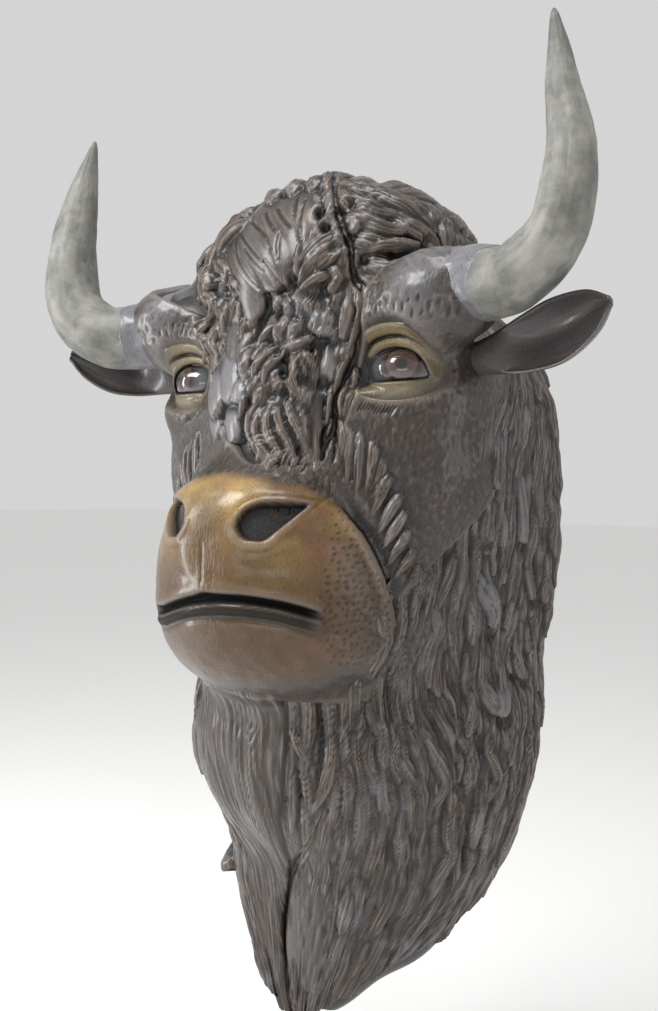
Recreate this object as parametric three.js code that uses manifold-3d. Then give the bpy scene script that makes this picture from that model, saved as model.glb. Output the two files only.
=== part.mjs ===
// Wall-hung buffalo head: one casting with its mane and beard, and separate horns, ears, eyes and
// hanging plate.
// Millimetres, +Z up. The flat back lies in the plane y = 0 with the wall behind it at +Y.
// The face looks toward -Y, +X is the animal's left, and z = 0 is level with the top of the nostrils.
import * as THREE from "three";
import { ParametricGeometry } from "three/addons/geometries/ParametricGeometry.js";
import { mergeVertices } from "three/addons/utils/BufferGeometryUtils.js";
import Module from "manifold-3d";

const wasm = await Module();
wasm.setup();

// Driving dimensions
const FIT_GAP = 0.3; // clearance round every piece that is let into the casting
const HEAD_TOP = 357; // crown of the hair above the datum level
const HEAD_BOTTOM = -588; // tip of the beard
const HEM_LEVEL = -446; // height of the mane's hem where it meets the wall
const HEM_SLOPE = 0.68; // rise of the hem per mm toward the wall
const CUT_ALLOWANCE = 5; // the clay runs this far past the back plane before it is cut off flat
const SEARCH_REACH = 520; // no part of the skin is farther than this from the head's spine
const LEVELS = 33; // rows of facets from beard tip to crown
const FACE_COLUMNS = 28; // facets round the head, from one edge of the flat back to the other
const BACK_COLUMNS = 4; // facets across the flat back
// Places and sizes of the features that are let into or cut into the face
const EYE = { centre: [139, -262, 126], radii: [36, 27, 23] };
const NOSTRIL = { centre: [50, -384, -27], radii: [33, 26, 12], turn: 0.62, tilt: 0.16 };
const MOUTH = { height: 7, depth: 16, level: -107, corner: 0.47, droop: 22 };
const PLATE = { width: 70, height: 90, thickness: 3, level: 190, corner: 8 };
const KEYHOLE = { head: 9, slot: 4.5, rise: 28, room: 14 };
const PLATE_SEGMENTS = 3; // facets in each of the plate's rounded corners
const HORN_SIDES = 11;

// Soft masses that the sculptor's clay is built from, each mirrored onto the animal's right:
// centre, radii, forward pitch in degrees, and the width of the blend into its neighbours.
const MASSES = [
  { centre: [0, 20, -60], radii: [212, 250, 350], pitch: 0, blend: 60 }, // neck
  { centre: [112, -70, 60], radii: [98, 125, 150], pitch: 0, blend: 60 }, // side of the nape
  { centre: [0, -100, -345], radii: [180, 150, 250], pitch: 0, blend: 60 }, // hanging mane
  { centre: [0, -55, -290], radii: [199, 130, 190], pitch: 0, blend: 60 }, // mane against the wall
  { centre: [0, -138, -450], radii: [132, 62, 160], pitch: 0, blend: 40 }, // mane's lower end
  { centre: [0, -178, -405], radii: [102, 60, 228], pitch: -8, blend: 40 }, // beard
  { centre: [0, -226, -265], radii: [144, 98, 140], pitch: 0, blend: 50 }, // throat
  { centre: [0, -160, 120], radii: [172, 134, 190], pitch: 0, blend: 60 }, // skull
  { centre: [0, -222, 220], radii: [150, 96, 128], pitch: 0, blend: 50 }, // forelock
  { centre: [0, -172, 243], radii: [174, 104, 106], pitch: 0, blend: 50 }, // crown
  { centre: [0, -245, 60], radii: [106, 96, 120], pitch: 0, blend: 50 }, // bridge of the nose
  { centre: [0, -330, -24], radii: [84, 66, 54], pitch: 0, blend: 40 }, // nose
  { centre: [0, -268, -80], radii: [144, 136, 105], pitch: 0, blend: 40 }, // muzzle
  { centre: [0, -268, -138], radii: [142, 124, 87], pitch: 0, blend: 35 }, // chin
  { centre: [75, -170, -60], radii: [108, 120, 150], pitch: 0, blend: 50 }, // jaw
  { centre: [106, -182, 45], radii: [101, 108, 122], pitch: 0, blend: 50 }, // cheek
  { centre: [140, -180, 125], radii: [62, 80, 70], pitch: 0, blend: 40 }, // temple
  { centre: [112, -246, 180], radii: [52, 48, 32], pitch: 0, blend: 30 }, // brow
  { centre: [178, -263, 194], radii: [66, 42, 44], pitch: 0, blend: 30 }, // skin round the horn's root
];
// The spine that the skin is measured from: height and depth of its points, bottom to crown.
const SPINE = [
  [-600, -215], [-450, -170], [-250, -140], [0, -130], [150, -130], [250, -150], [330, -185], [400, -190],
];

// Horn centre lines and radii, root to tip. The animal's right horn is thicker and sits lower.
const HORN_LEFT = {
  path: [[160, -256, 199], [218, -268, 203], [266, -290, 201], [308, -302, 234], [317, -298, 300],
    [305, -291, 370], [295, -287, 435]],
  radii: [35, 35, 32, 29, 24, 16, 3],
};
const HORN_RIGHT = {
  path: [[160, -256, 192], [215, -268, 188], [262, -290, 187], [306, -302, 222], [320, -298, 290],
    [313, -291, 360], [295, -287, 434]],
  radii: [38, 38, 37, 35, 29, 20, 3],
};
// Ear: centre line, half height, depth of the bowl and how hollow it is, root to tip.
const EAR = {
  path: [[168, -216, 136], [196, -222, 139], [222, -230, 142], [258, -241, 148], [292, -252, 156],
    [325, -266, 166], [347, -277, 172]],
  halfHeights: [15, 17, 21, 29, 32, 23, 6],
  depths: [14, 15, 18, 25, 27, 19, 5],
  hollows: [-0.5, -0.5, -0.2, 0.7, 0.78, 0.7, 0.3],
  socketRings: 3,
};

const clamp = THREE.MathUtils.clamp;
const lerp = THREE.MathUtils.lerp;

// Smallest of two distances with a rounded blend of width k between them.
function softMin(a, b, k) {
  const h = clamp(0.5 + (0.5 * (b - a)) / k, 0, 1);
  return lerp(b, a, h) - k * h * (1 - h);
}

function distanceToMass(mass, x, y, z) {
  const px = x - mass.centre[0];
  const qy = y - mass.centre[1];
  const qz = z - mass.centre[2];
  const angle = THREE.MathUtils.degToRad(mass.pitch);
  const py = qy * Math.cos(angle) + qz * Math.sin(angle);
  const pz = qz * Math.cos(angle) - qy * Math.sin(angle);
  const [rx, ry, rz] = mass.radii;
  const k0 = Math.hypot(px / rx, py / ry, pz / rz);
  const k1 = Math.hypot(px / rx ** 2, py / ry ** 2, pz / rz ** 2);
  return k1 > 0 ? (k0 * (k0 - 1)) / k1 : -Math.min(rx, ry, rz);
}

// Signed distance to the modelled skin: negative inside the casting.
function skinDistance(x, y, z) {
  let distance = 1e9;
  for (const mass of MASSES) {
    distance = softMin(distance, distanceToMass(mass, Math.abs(x), y, z), mass.blend);
  }
  const hem = (HEM_LEVEL + HEM_SLOPE * y - z) / Math.hypot(1, HEM_SLOPE);
  distance = -softMin(-distance, -hem, 30);
  return Math.max(distance, y - CUT_ALLOWANCE);
}

function spineDepth(z) {
  for (let i = 1; i < SPINE.length; i += 1) {
    if (z <= SPINE[i][0]) {
      const part = clamp((z - SPINE[i - 1][0]) / (SPINE[i][0] - SPINE[i - 1][0]), 0, 1);
      return lerp(SPINE[i - 1][1], SPINE[i][1], part);
    }
  }
  return SPINE[SPINE.length - 1][1];
}

// Outermost skin point at a height, in a direction from the spine: 0 is straight ahead, +90 degrees is +X.
function skinPoint(angle, z) {
  const dx = Math.sin(angle);
  const dy = -Math.cos(angle);
  const y0 = spineDepth(z);
  const step = 5;
  let outside = SEARCH_REACH;
  while (outside > 0 && skinDistance(dx * outside, y0 + dy * outside, z) > 0) {
    outside -= step;
  }
  let inside = Math.max(outside, 0);
  outside = inside + step;
  for (let i = 0; i < 10; i += 1) {
    const middle = (inside + outside) / 2;
    if (skinDistance(dx * middle, y0 + dy * middle, z) > 0) {
      outside = middle;
    } else {
      inside = middle;
    }
  }
  return new THREE.Vector3(dx * inside, y0 + dy * inside, z);
}

function skinNormal(point) {
  const e = 2;
  const { x, y, z } = point;
  return new THREE.Vector3(
    skinDistance(x + e, y, z) - skinDistance(x - e, y, z),
    skinDistance(x, y + e, z) - skinDistance(x, y - e, z),
    skinDistance(x, y, z + e) - skinDistance(x, y, z - e),
  ).normalize();
}

// Merges a geometry into a closed surface whose faces point outward.
function closedSurface(geometry) {
  geometry.deleteAttribute("normal");
  geometry.deleteAttribute("uv");
  const merged = mergeVertices(geometry, 1e-3);
  const points = merged.getAttribute("position").array;
  const old = merged.getIndex().array;
  const faces = [];
  for (let i = 0; i < old.length; i += 3) {
    const [a, b, c] = [old[i], old[i + 1], old[i + 2]];
    if (a !== b && b !== c && a !== c) {
      faces.push([a, b, c]);
    }
  }
  let volume = 0;
  for (const [a, b, c] of faces) {
    const [p, q, r] = [a, b, c].map((k) => new THREE.Vector3().fromArray(points, 3 * k));
    volume += p.dot(q.cross(r));
  }
  const outward = volume > 0 ? faces : faces.map(([a, b, c]) => [a, c, b]);
  merged.setIndex(outward.flat());
  return merged;
}

function solidOf(geometry) {
  const surface = closedSurface(geometry);
  const mesh = new wasm.Mesh({
    numProp: 3,
    vertProperties: new Float32Array(surface.getAttribute("position").array),
    triVerts: new Uint32Array(surface.getIndex().array),
  });
  return new wasm.Manifold(mesh);
}

function geometryOf(solid) {
  const mesh = solid.getMesh();
  const geometry = new THREE.BufferGeometry();
  geometry.setAttribute("position", new THREE.BufferAttribute(new Float32Array(mesh.vertProperties), 3));
  geometry.setIndex(new THREE.BufferAttribute(new Uint32Array(mesh.triVerts), 1));
  return geometry;
}

// Closed skin over a stack of rings, with the first and last ring drawn together to their middles.
function solidThroughRings(rings) {
  const middle = (ring) => ring.reduce((sum, p) => sum.add(p), new THREE.Vector3()).divideScalar(ring.length);
  const first = rings[0].map(() => middle(rings[0]));
  const last = rings[0].map(() => middle(rings[rings.length - 1]));
  const stack = [first, ...rings, last];
  const sides = rings[0].length;
  const surface = (u, v, target) => {
    const row = Math.round(v * (stack.length - 1));
    const column = Math.round(u * sides) % sides;
    target.copy(stack[row][column]);
  };
  return solidOf(new ParametricGeometry(surface, sides, stack.length - 1));
}

// Reads a list of values as an even ramp along a path.
function along(values, t) {
  const place = t * (values.length - 1);
  const index = Math.min(Math.floor(place), values.length - 2);
  return lerp(values[index], values[index + 1], place - index);
}

function mirrorPath(path, side) {
  return path.map(([x, y, z]) => new THREE.Vector3(side * x, y, z));
}

// Angle from the spine to the edge of the flat back, at a height.
function cornerAngle(z) {
  const leastWidth = z > 0 ? 50 : 100;
  let halfWidth = 260;
  while (halfWidth > leastWidth && skinDistance(halfWidth, -1, z) > 0) {
    halfWidth -= 1;
  }
  return Math.PI - Math.atan2(halfWidth, -spineDepth(z));
}

// The head's bare skin, before hair and cuts.
function makeSkin() {
  const rings = [];
  for (let row = 0; row < LEVELS; row += 1) {
    const t = row / (LEVELS - 1);
    const ease = lerp(t, (1 - Math.cos(Math.PI * t)) / 2, 0.35);
    const z = lerp(HEAD_BOTTOM + 4, HEAD_TOP - 3, ease);
    const corner = cornerAngle(z);
    const ring = [];
    for (let column = 0; column < FACE_COLUMNS; column += 1) {
      ring.push(skinPoint(lerp(-corner, corner, column / FACE_COLUMNS), z));
    }
    for (let column = 0; column < BACK_COLUMNS; column += 1) {
      ring.push(skinPoint(lerp(corner, 2 * Math.PI - corner, column / BACK_COLUMNS), z));
    }
    rings.push(ring);
  }
  return solidThroughRings(rings);
}

// A lock of hair: a tapering ridge that runs along the skin from its root to a raised tip.
function makeLock({ from, to, sway, width, thickness, overhang = 0 }) {
  const steps = 4;
  const rings = [];
  const pointAt = (t) => {
    const bend = sway * Math.sin(Math.PI * 1.4 * t);
    return skinPoint(lerp(from[0], to[0], t) + bend, lerp(from[1], to[1], t));
  };
  for (let i = 0; i < steps; i += 1) {
    const t = i / (steps - 1);
    const base = pointAt(t);
    const normal = skinNormal(base);
    const run = pointAt(Math.min(t + 0.05, 1.02)).sub(pointAt(Math.max(t - 0.05, 0))).normalize();
    const across = new THREE.Vector3().crossVectors(normal, run).normalize();
    const swell = Math.sin(Math.PI * (0.2 + 0.75 * t));
    const lift = normal.clone().multiplyScalar(thickness * (0.15 + 0.85 * t ** 0.6) * (t < 1 ? 1 : 0.75));
    const half = (width / 2) * swell;
    if (t === 1) {
      base.addScaledVector(run, overhang);
    }
    rings.push([
      base.clone().addScaledVector(across, half).addScaledVector(normal, -6),
      base.clone().add(lift),
      base.clone().addScaledVector(across, -half).addScaledVector(normal, -6),
    ]);
  }
  return solidThroughRings(rings);
}

// The locks that show from a step away, as root and tip places on the skin: angle round the spine, height.
function lockPlan() {
  const plan = [];
  const addRow = (count, place) => {
    for (let i = 0; i < count; i += 1) {
      plan.push(place(i, i / (count - 1)));
    }
  };
  for (const side of [-1, 1]) {
    // Rows of long locks down the neck and mane, from the wall to the edge of the cheek
    addRow(5, (i, t) => ({
      from: [side * (1.92 - 0.05 * (i % 2)), lerp(170, -270, t)],
      to: [side * (1.84 - 0.04 * t), lerp(50, -390, t)],
      sway: side * 0.05,
      width: 44,
      thickness: 12,
    }));
    addRow(5, (i, t) => ({
      from: [side * (1.58 - 0.06 * (i % 2)), lerp(110, -290, t)],
      to: [side * (1.52 - 0.1 * t), lerp(-20, -410, t)],
      sway: side * 0.06,
      width: 42,
      thickness: 15,
    }));
    addRow(5, (i, t) => ({
      from: [side * (1.28 - 0.05 * (i % 2)), lerp(30, -300, t)],
      to: [side * (1.2 - 0.14 * t), lerp(-90, -430, t)],
      sway: -side * 0.07,
      width: 40,
      thickness: 15,
    }));
    // Shorter locks from the jaw down to the beard
    addRow(4, (i, t) => ({
      from: [side * lerp(0.98, 0.6, t), lerp(-120, -330, t)],
      to: [side * lerp(0.92, 0.5, t), lerp(-240, -460, t)],
      sway: side * 0.07,
      width: 38,
      thickness: 12,
    }));
    // Lock ends that hang below the hem, from the wall to the beard
    addRow(3, (i, t) => ({
      from: [side * lerp(1.75, 0.75, t), lerp(-330, -420, t)],
      to: [side * lerp(1.75, 0.75, t), lerp(-425, -520, t)],
      sway: side * 0.05,
      width: 48,
      thickness: 12,
      overhang: 26,
    }));
    // Pointed tufts behind the muzzle
    addRow(3, (i, t) => ({
      from: [side * lerp(0.56, 0.86, t), lerp(48, -48, t)],
      to: [side * lerp(0.64, 0.93, t), lerp(-8, -104, t)],
      sway: side * 0.03,
      width: 26,
      thickness: 11,
    }));
  }
  // The forelock: three rows of tufts that fall from the crown toward the nose
  addRow(5, (i, t) => ({
    from: [lerp(-0.95, 0.95, t), 318 - 40 * Math.abs(t - 0.5)],
    to: [lerp(-0.85, 0.8, t), 228],
    sway: 0.1 * (i % 2 ? 1 : -1),
    width: 60,
    thickness: 12,
  }));
  addRow(4, (i, t) => ({
    from: [lerp(-0.5, 0.56, t), 250],
    to: [lerp(-0.42, 0.42, t), 132],
    sway: 0.1 * (i % 2 ? -1 : 1),
    width: 50,
    thickness: 15,
  }));
  addRow(3, (i, t) => ({
    from: [lerp(-0.26, 0.4, t), 160],
    to: [lerp(-0.16, 0.28, t), lerp(60, 25, t)],
    sway: 0.08 * (i % 2 ? 1 : -1),
    width: 36,
    thickness: 13,
  }));
  // The beard's long middle locks
  addRow(3, (i, t) => ({
    from: [lerp(-0.3, 0.3, t), lerp(-250, -290, i % 2)],
    to: [lerp(-0.36, 0.36, t), lerp(-420, -500, i % 2)],
    sway: 0.1 * (t - 0.5),
    width: 44,
    thickness: 7,
  }));
  return plan;
}

function makeHorn({ path, radii }, side, grow) {
  const curve = new THREE.CatmullRomCurve3(mirrorPath(path, side));
  const steps = 13;
  const rings = [];
  for (let i = 0; i < steps; i += 1) {
    const t = i / (steps - 1);
    const run = curve.getTangent(t);
    const across = new THREE.Vector3().crossVectors(run, new THREE.Vector3(0, 1, 0)).normalize();
    const outward = new THREE.Vector3().crossVectors(across, run).normalize();
    const centre = curve.getPoint(t).addScaledVector(run, i === 0 ? -grow : 0);
    const radius = along(radii, t) + grow;
    const ring = [];
    for (let k = 0; k < HORN_SIDES; k += 1) {
      const angle = (2 * Math.PI * k) / HORN_SIDES;
      ring.push(
        centre.clone()
          .addScaledVector(across, radius * Math.cos(angle))
          .addScaledVector(outward, radius * Math.sin(angle)),
      );
    }
    rings.push(ring);
  }
  return solidThroughRings(rings);
}

// A leaf-shaped ear whose bowl opens forward; its solid root runs into the head.
function makeEar(side, grow, ringCount) {
  const path = mirrorPath(EAR.path, side);
  const curve = new THREE.CatmullRomCurve3(path);
  const last = path.length - 1;
  const outerCount = 8;
  const innerCount = 5;
  const rings = [];
  for (let i = 0; i < ringCount; i += 1) {
    const run = curve.getTangent(i / last);
    const up = new THREE.Vector3(0, 0, 1).addScaledVector(run, -run.z).normalize();
    const back = new THREE.Vector3(0, 1, 0).addScaledVector(run, -run.y).normalize();
    const centre = path[i].clone().addScaledVector(run, i === 0 ? -grow : 0);
    const ring = [];
    const place = (high, deep) => {
      ring.push(centre.clone().addScaledVector(up, high).addScaledVector(back, deep));
    };
    for (let k = 0; k < outerCount; k += 1) {
      const angle = (Math.PI * k) / (outerCount - 1);
      place((EAR.halfHeights[i] + grow) * Math.cos(angle), (EAR.depths[i] + grow) * Math.sin(angle));
    }
    for (let k = 0; k < innerCount; k += 1) {
      const angle = Math.PI * (1 - (k + 1) / (innerCount + 1));
      const deep = EAR.depths[i] * EAR.hollows[i] - (EAR.hollows[i] < 0 ? grow : 0);
      place((EAR.halfHeights[i] - 4 + grow) * Math.cos(angle), deep * Math.sin(angle));
    }
    rings.push(ring);
  }
  return solidThroughRings(rings);
}

function makeEllipsoid(centre, radii, turn, tilt, across, down) {
  const geometry = new THREE.SphereGeometry(1, across, down);
  geometry.scale(...radii);
  geometry.rotateY(tilt);
  geometry.rotateZ(turn);
  geometry.translate(...centre);
  return solidOf(geometry);
}

function makeEye(side, grow) {
  const [x, y, z] = EYE.centre;
  const radii = EYE.radii.map((r) => r + grow);
  return makeEllipsoid([side * x, y, z], radii, side * 0.12, 0, 14, 8);
}

function makeNostril(side) {
  const [x, y, z] = NOSTRIL.centre;
  return makeEllipsoid([side * x, y, z], NOSTRIL.radii, side * NOSTRIL.turn, -side * NOSTRIL.tilt, 12, 8);
}

// The closed mouth: a groove round the front of the muzzle that droops at its corners.
function makeMouth() {
  const steps = 11;
  const rings = [];
  for (let i = 0; i < steps; i += 1) {
    const part = (2 * i) / (steps - 1) - 1;
    const angle = part * MOUTH.corner;
    const z = MOUTH.level - MOUTH.droop * Math.abs(part) ** 2.5;
    const skin = skinPoint(angle, z);
    const normal = skinNormal(skin);
    const fade = Math.max(0.15, 1 - Math.abs(part) ** 4);
    const up = new THREE.Vector3(0, 0, (MOUTH.height / 2) * fade);
    rings.push([
      skin.clone().addScaledVector(normal, 8).addScaledVector(up, 2.2),
      skin.clone().addScaledVector(normal, -MOUTH.depth * fade),
      skin.clone().addScaledVector(normal, 8).addScaledVector(up, -2.2),
    ]);
  }
  return solidThroughRings(rings);
}

function roundedPlate(width, height, corner, grow) {
  const w = width / 2 + grow;
  const h = height / 2 + grow;
  const r = corner + grow;
  const outline = new THREE.Shape();
  outline.moveTo(-w + r, -h);
  outline.lineTo(w - r, -h);
  outline.absarc(w - r, -h + r, r, -Math.PI / 2, 0, false);
  outline.absarc(w - r, h - r, r, 0, Math.PI / 2, false);
  outline.absarc(-w + r, h - r, r, Math.PI / 2, Math.PI, false);
  outline.absarc(-w + r, -h + r, r, Math.PI, 1.5 * Math.PI, false);
  return outline;
}

// Stands an extruded drawing upright against the back, its face at the given depth.
function standAgainstBack(shape, depth, thickness, level, segments) {
  const settings = { depth: thickness, bevelEnabled: false, curveSegments: segments };
  const geometry = new THREE.ExtrudeGeometry(shape, settings);
  geometry.rotateX(Math.PI / 2);
  geometry.translate(0, depth, level);
  return geometry;
}

// Steel plate with a keyhole: the wall screw's head goes in at the round end and rises into the slot.
function makePlate() {
  const outline = roundedPlate(PLATE.width, PLATE.height, PLATE.corner, 0);
  const keyhole = new THREE.Path();
  const low = -KEYHOLE.rise / 2;
  const join = Math.asin(KEYHOLE.slot / KEYHOLE.head);
  keyhole.absarc(0, low, KEYHOLE.head, Math.PI / 2 - join, Math.PI / 2 + join, true);
  keyhole.absarc(0, low + KEYHOLE.rise, KEYHOLE.slot, Math.PI, 0, true);
  keyhole.closePath();
  outline.holes.push(keyhole);
  return standAgainstBack(outline, 0, PLATE.thickness, PLATE.level, PLATE_SEGMENTS);
}

function platePocket() {
  const outline = roundedPlate(PLATE.width, PLATE.height, PLATE.corner, FIT_GAP);
  const overrun = 1;
  const depth = PLATE.thickness + FIT_GAP + overrun;
  return solidOf(standAgainstBack(outline, overrun, depth, PLATE.level, PLATE_SEGMENTS));
}

// Room behind the keyhole for the head of the wall screw.
function screwRoom() {
  const half = KEYHOLE.head + 4;
  const box = new THREE.BoxGeometry(2 * half, KEYHOLE.room, KEYHOLE.rise + 2 * half);
  box.translate(0, -PLATE.thickness - KEYHOLE.room / 2, PLATE.level);
  return solidOf(box);
}

function makeHead() {
  let head = makeSkin();
  for (const lock of lockPlan()) {
    head = head.add(makeLock(lock));
  }
  const wall = new THREE.BoxGeometry(900, 200, 1400);
  wall.translate(0, 100, -100);
  const cuts = [solidOf(wall), makeMouth(), platePocket(), screwRoom()];
  cuts.push(makeHorn(HORN_LEFT, 1, FIT_GAP), makeHorn(HORN_RIGHT, -1, FIT_GAP));
  for (const side of [-1, 1]) {
    cuts.push(makeEye(side, FIT_GAP), makeNostril(side), makeEar(side, FIT_GAP, EAR.socketRings));
  }
  for (const cut of cuts) {
    head = head.subtract(cut);
  }
  return geometryOf(head);
}

const paint = new THREE.MeshStandardMaterial({ color: 0x4a423c, roughness: 0.45, metalness: 0.1 });
const hornPaint = new THREE.MeshStandardMaterial({ color: 0x8d8f8a, roughness: 0.6, metalness: 0 });
const eyeGlass = new THREE.MeshStandardMaterial({ color: 0x241a17, roughness: 0.08, metalness: 0 });
const steel = new THREE.MeshStandardMaterial({ color: 0x9a9c9e, roughness: 0.35, metalness: 1 });

const buffaloHead = new THREE.Group();

function addPiece(name, geometry, material) {
  const mesh = new THREE.Mesh(geometry, material);
  mesh.name = name;
  buffaloHead.add(mesh);
}

addPiece("head", makeHead(), paint);
addPiece("horn_left", geometryOf(makeHorn(HORN_LEFT, 1, 0)), hornPaint);
addPiece("horn_right", geometryOf(makeHorn(HORN_RIGHT, -1, 0)), hornPaint);
for (const [side, word] of [[1, "left"], [-1, "right"]]) {
  addPiece(`ear_${word}`, geometryOf(makeEar(side, 0, EAR.path.length)), paint);
  addPiece(`eye_${word}`, geometryOf(makeEye(side, 0)), eyeGlass);
}
addPiece("hanging_plate", makePlate(), steel);

export default buffaloHead;
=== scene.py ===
"""Dresses the solid buffalo head: sculpted and painted coat, horns, ears, eyes and hanging plate."""

import math

import bpy
import numpy as np
from bpy.props import FloatProperty, FloatVectorProperty, IntProperty, PointerProperty
from mathutils import Matrix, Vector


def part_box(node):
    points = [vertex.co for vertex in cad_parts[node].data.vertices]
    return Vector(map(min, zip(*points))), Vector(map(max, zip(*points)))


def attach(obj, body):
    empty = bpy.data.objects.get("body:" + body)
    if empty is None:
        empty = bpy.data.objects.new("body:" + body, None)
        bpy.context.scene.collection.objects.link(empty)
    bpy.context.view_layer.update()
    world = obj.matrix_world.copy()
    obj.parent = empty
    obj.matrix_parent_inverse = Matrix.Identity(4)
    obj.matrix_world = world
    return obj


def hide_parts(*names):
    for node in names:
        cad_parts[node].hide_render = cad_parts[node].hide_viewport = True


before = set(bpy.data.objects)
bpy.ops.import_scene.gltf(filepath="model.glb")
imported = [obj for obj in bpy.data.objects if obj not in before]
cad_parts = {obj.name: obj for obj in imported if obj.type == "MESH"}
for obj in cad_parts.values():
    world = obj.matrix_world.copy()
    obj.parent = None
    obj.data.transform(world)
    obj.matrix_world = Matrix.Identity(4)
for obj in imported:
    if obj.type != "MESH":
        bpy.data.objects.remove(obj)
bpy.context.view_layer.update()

bl_info = {
    "name": "Wall-hung buffalo head",
    "version": (1, 0, 0),
    "blender": (4, 5, 0),
    "location": "View3D > Sidebar > Buffalo head",
    "description": "Sculpts and paints a wall-hung buffalo head over its solid model",
    "category": "Object",
}

MM = 0.001

# The clay masses of the solid head: centre, radii, forward pitch in degrees, width of the blend
# into the masses before. Each is mirrored onto the animal's right.
MASSES = (
    ((0, 20, -60), (212, 250, 350), 0, 60),  # neck
    ((112, -70, 60), (98, 125, 150), 0, 60),  # side of the nape
    ((0, -100, -345), (180, 150, 250), 0, 60),  # hanging mane
    ((0, -55, -290), (199, 130, 190), 0, 60),  # mane against the wall
    ((0, -138, -450), (132, 62, 160), 0, 40),  # mane's lower end
    ((0, -178, -405), (102, 60, 228), -8, 40),  # beard
    ((0, -226, -265), (144, 98, 140), 0, 50),  # throat
    ((0, -160, 120), (172, 134, 190), 0, 60),  # skull
    ((0, -222, 220), (150, 96, 128), 0, 50),  # forelock
    ((0, -172, 243), (174, 104, 106), 0, 50),  # crown
    ((0, -245, 60), (106, 96, 120), 0, 50),  # bridge of the nose
    ((0, -330, -24), (84, 66, 54), 0, 40),  # nose
    ((0, -268, -80), (144, 136, 105), 0, 40),  # muzzle
    ((0, -268, -138), (142, 124, 87), 0, 35),  # chin
    ((75, -170, -60), (108, 120, 150), 0, 50),  # jaw
    ((106, -182, 45), (101, 108, 122), 0, 50),  # cheek
    ((140, -180, 125), (62, 80, 70), 0, 40),  # temple
    ((112, -246, 180), (52, 48, 32), 0, 30),  # brow
    ((178, -263, 194), (66, 42, 44), 0, 30),  # skin round the horn's root
)
SPINE_HEIGHTS = (-600, -450, -250, 0, 150, 250, 330, 400)
SPINE_DEPTHS = (-215, -170, -140, -130, -130, -150, -185, -190)
HEM_LEVEL = -446
HEM_SLOPE = 0.68
BACK_ALLOWANCE = 5
HEAD_TOP = 353
HEAD_BOTTOM = -584
REACH = 520
# Radii in mm that turn degrees round the spine into lengths on the skin
NECK_RADIUS = 215
BEARD_RADIUS = 150

# Depths in mm. The core lies SKIN_SINK under the clay, so it shows where nostrils and sockets go deeper, painted nearly
# black there as painted shade
SKIN_SINK = 10
NOSTRIL_DEPTH = 28
SOCKET_DEPTH = 13
FORELOCK_BED = 13
MOUTH_DEPTH = 9
# Where hair starts and where it is cut off, below the clay
HAIR_BASE = -5
HAIR_FLOOR = -8.5

EYE_CENTRE = (139, -259, 127)
EYE_RADII = (36, 26, 24)
EYE_TURN = 0.36
IRIS_PLACE = (-2, 3.5)
HORN_PATHS = {
    "left": ((160, -256, 199), (218, -268, 203), (266, -290, 201), (308, -302, 234),
             (317, -298, 300), (305, -291, 370), (295, -287, 435)),
    "right": ((160, -256, 192), (215, -268, 188), (262, -290, 187), (306, -302, 222),
              (320, -298, 290), (313, -291, 360), (295, -287, 434)),
}
HORN_RADII = {"left": (35, 35, 31, 27.5, 22.5, 14.5, 3), "right": (38, 38, 37, 35, 29, 20, 3)}
EAR_PATH = ((168, -216, 136), (196, -222, 139), (222, -230, 142), (258, -241, 148),
            (292, -252, 156), (325, -266, 166), (347, -277, 172))
EAR_HALF_HEIGHTS = (15, 17, 21, 29, 32, 23, 6)
EAR_DEPTHS = (14, 15, 18, 25, 27, 19, 5)
EAR_HOLLOWS = (-0.5, -0.5, -0.2, 0.7, 0.78, 0.7, 0.3)

# Camera that the photograph was taken with, found from pairs of features on the symmetric head
CAMERA_PLACE = (579.84, -1064.26, 0.0)
CAMERA_TURN = 0.584281
CAMERA_PITCH = -0.0131175
CAMERA_ROLL = 0.0198335
PHOTO_WIDTH_PX = 658
PHOTO_HEIGHT_PX = 1011
FOCAL_PX = 900
SENSOR_MM = 36
FLOOR_LEVEL = -0.9
WORLD_LIGHT = 0.66

# A ray from the camera starts at this distance, and walks in strides until it is close to the clay, in mm
MARCH_START = 550.0
MARCH_STRIDE = 12
MARCH_CLOSE = 0.3
MARCH_STEPS = 400


def linear_colour(code):
    """Turns an sRGB hex colour into the linear values that the shaders work in."""
    parts = [int(code[i:i + 2], 16) / 255 for i in (1, 3, 5)]
    return tuple(p / 12.92 if p <= 0.04045 else ((p + 0.055) / 1.055) ** 2.4 for p in parts)


def colour(name, text, code):
    return FloatVectorProperty(name=name, description=text, default=linear_colour(code), subtype="COLOR",
                               min=0, max=1)


def size(name, text, default):
    return FloatProperty(name=name, description=text, default=default * MM, unit="LENGTH", min=0)


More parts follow.
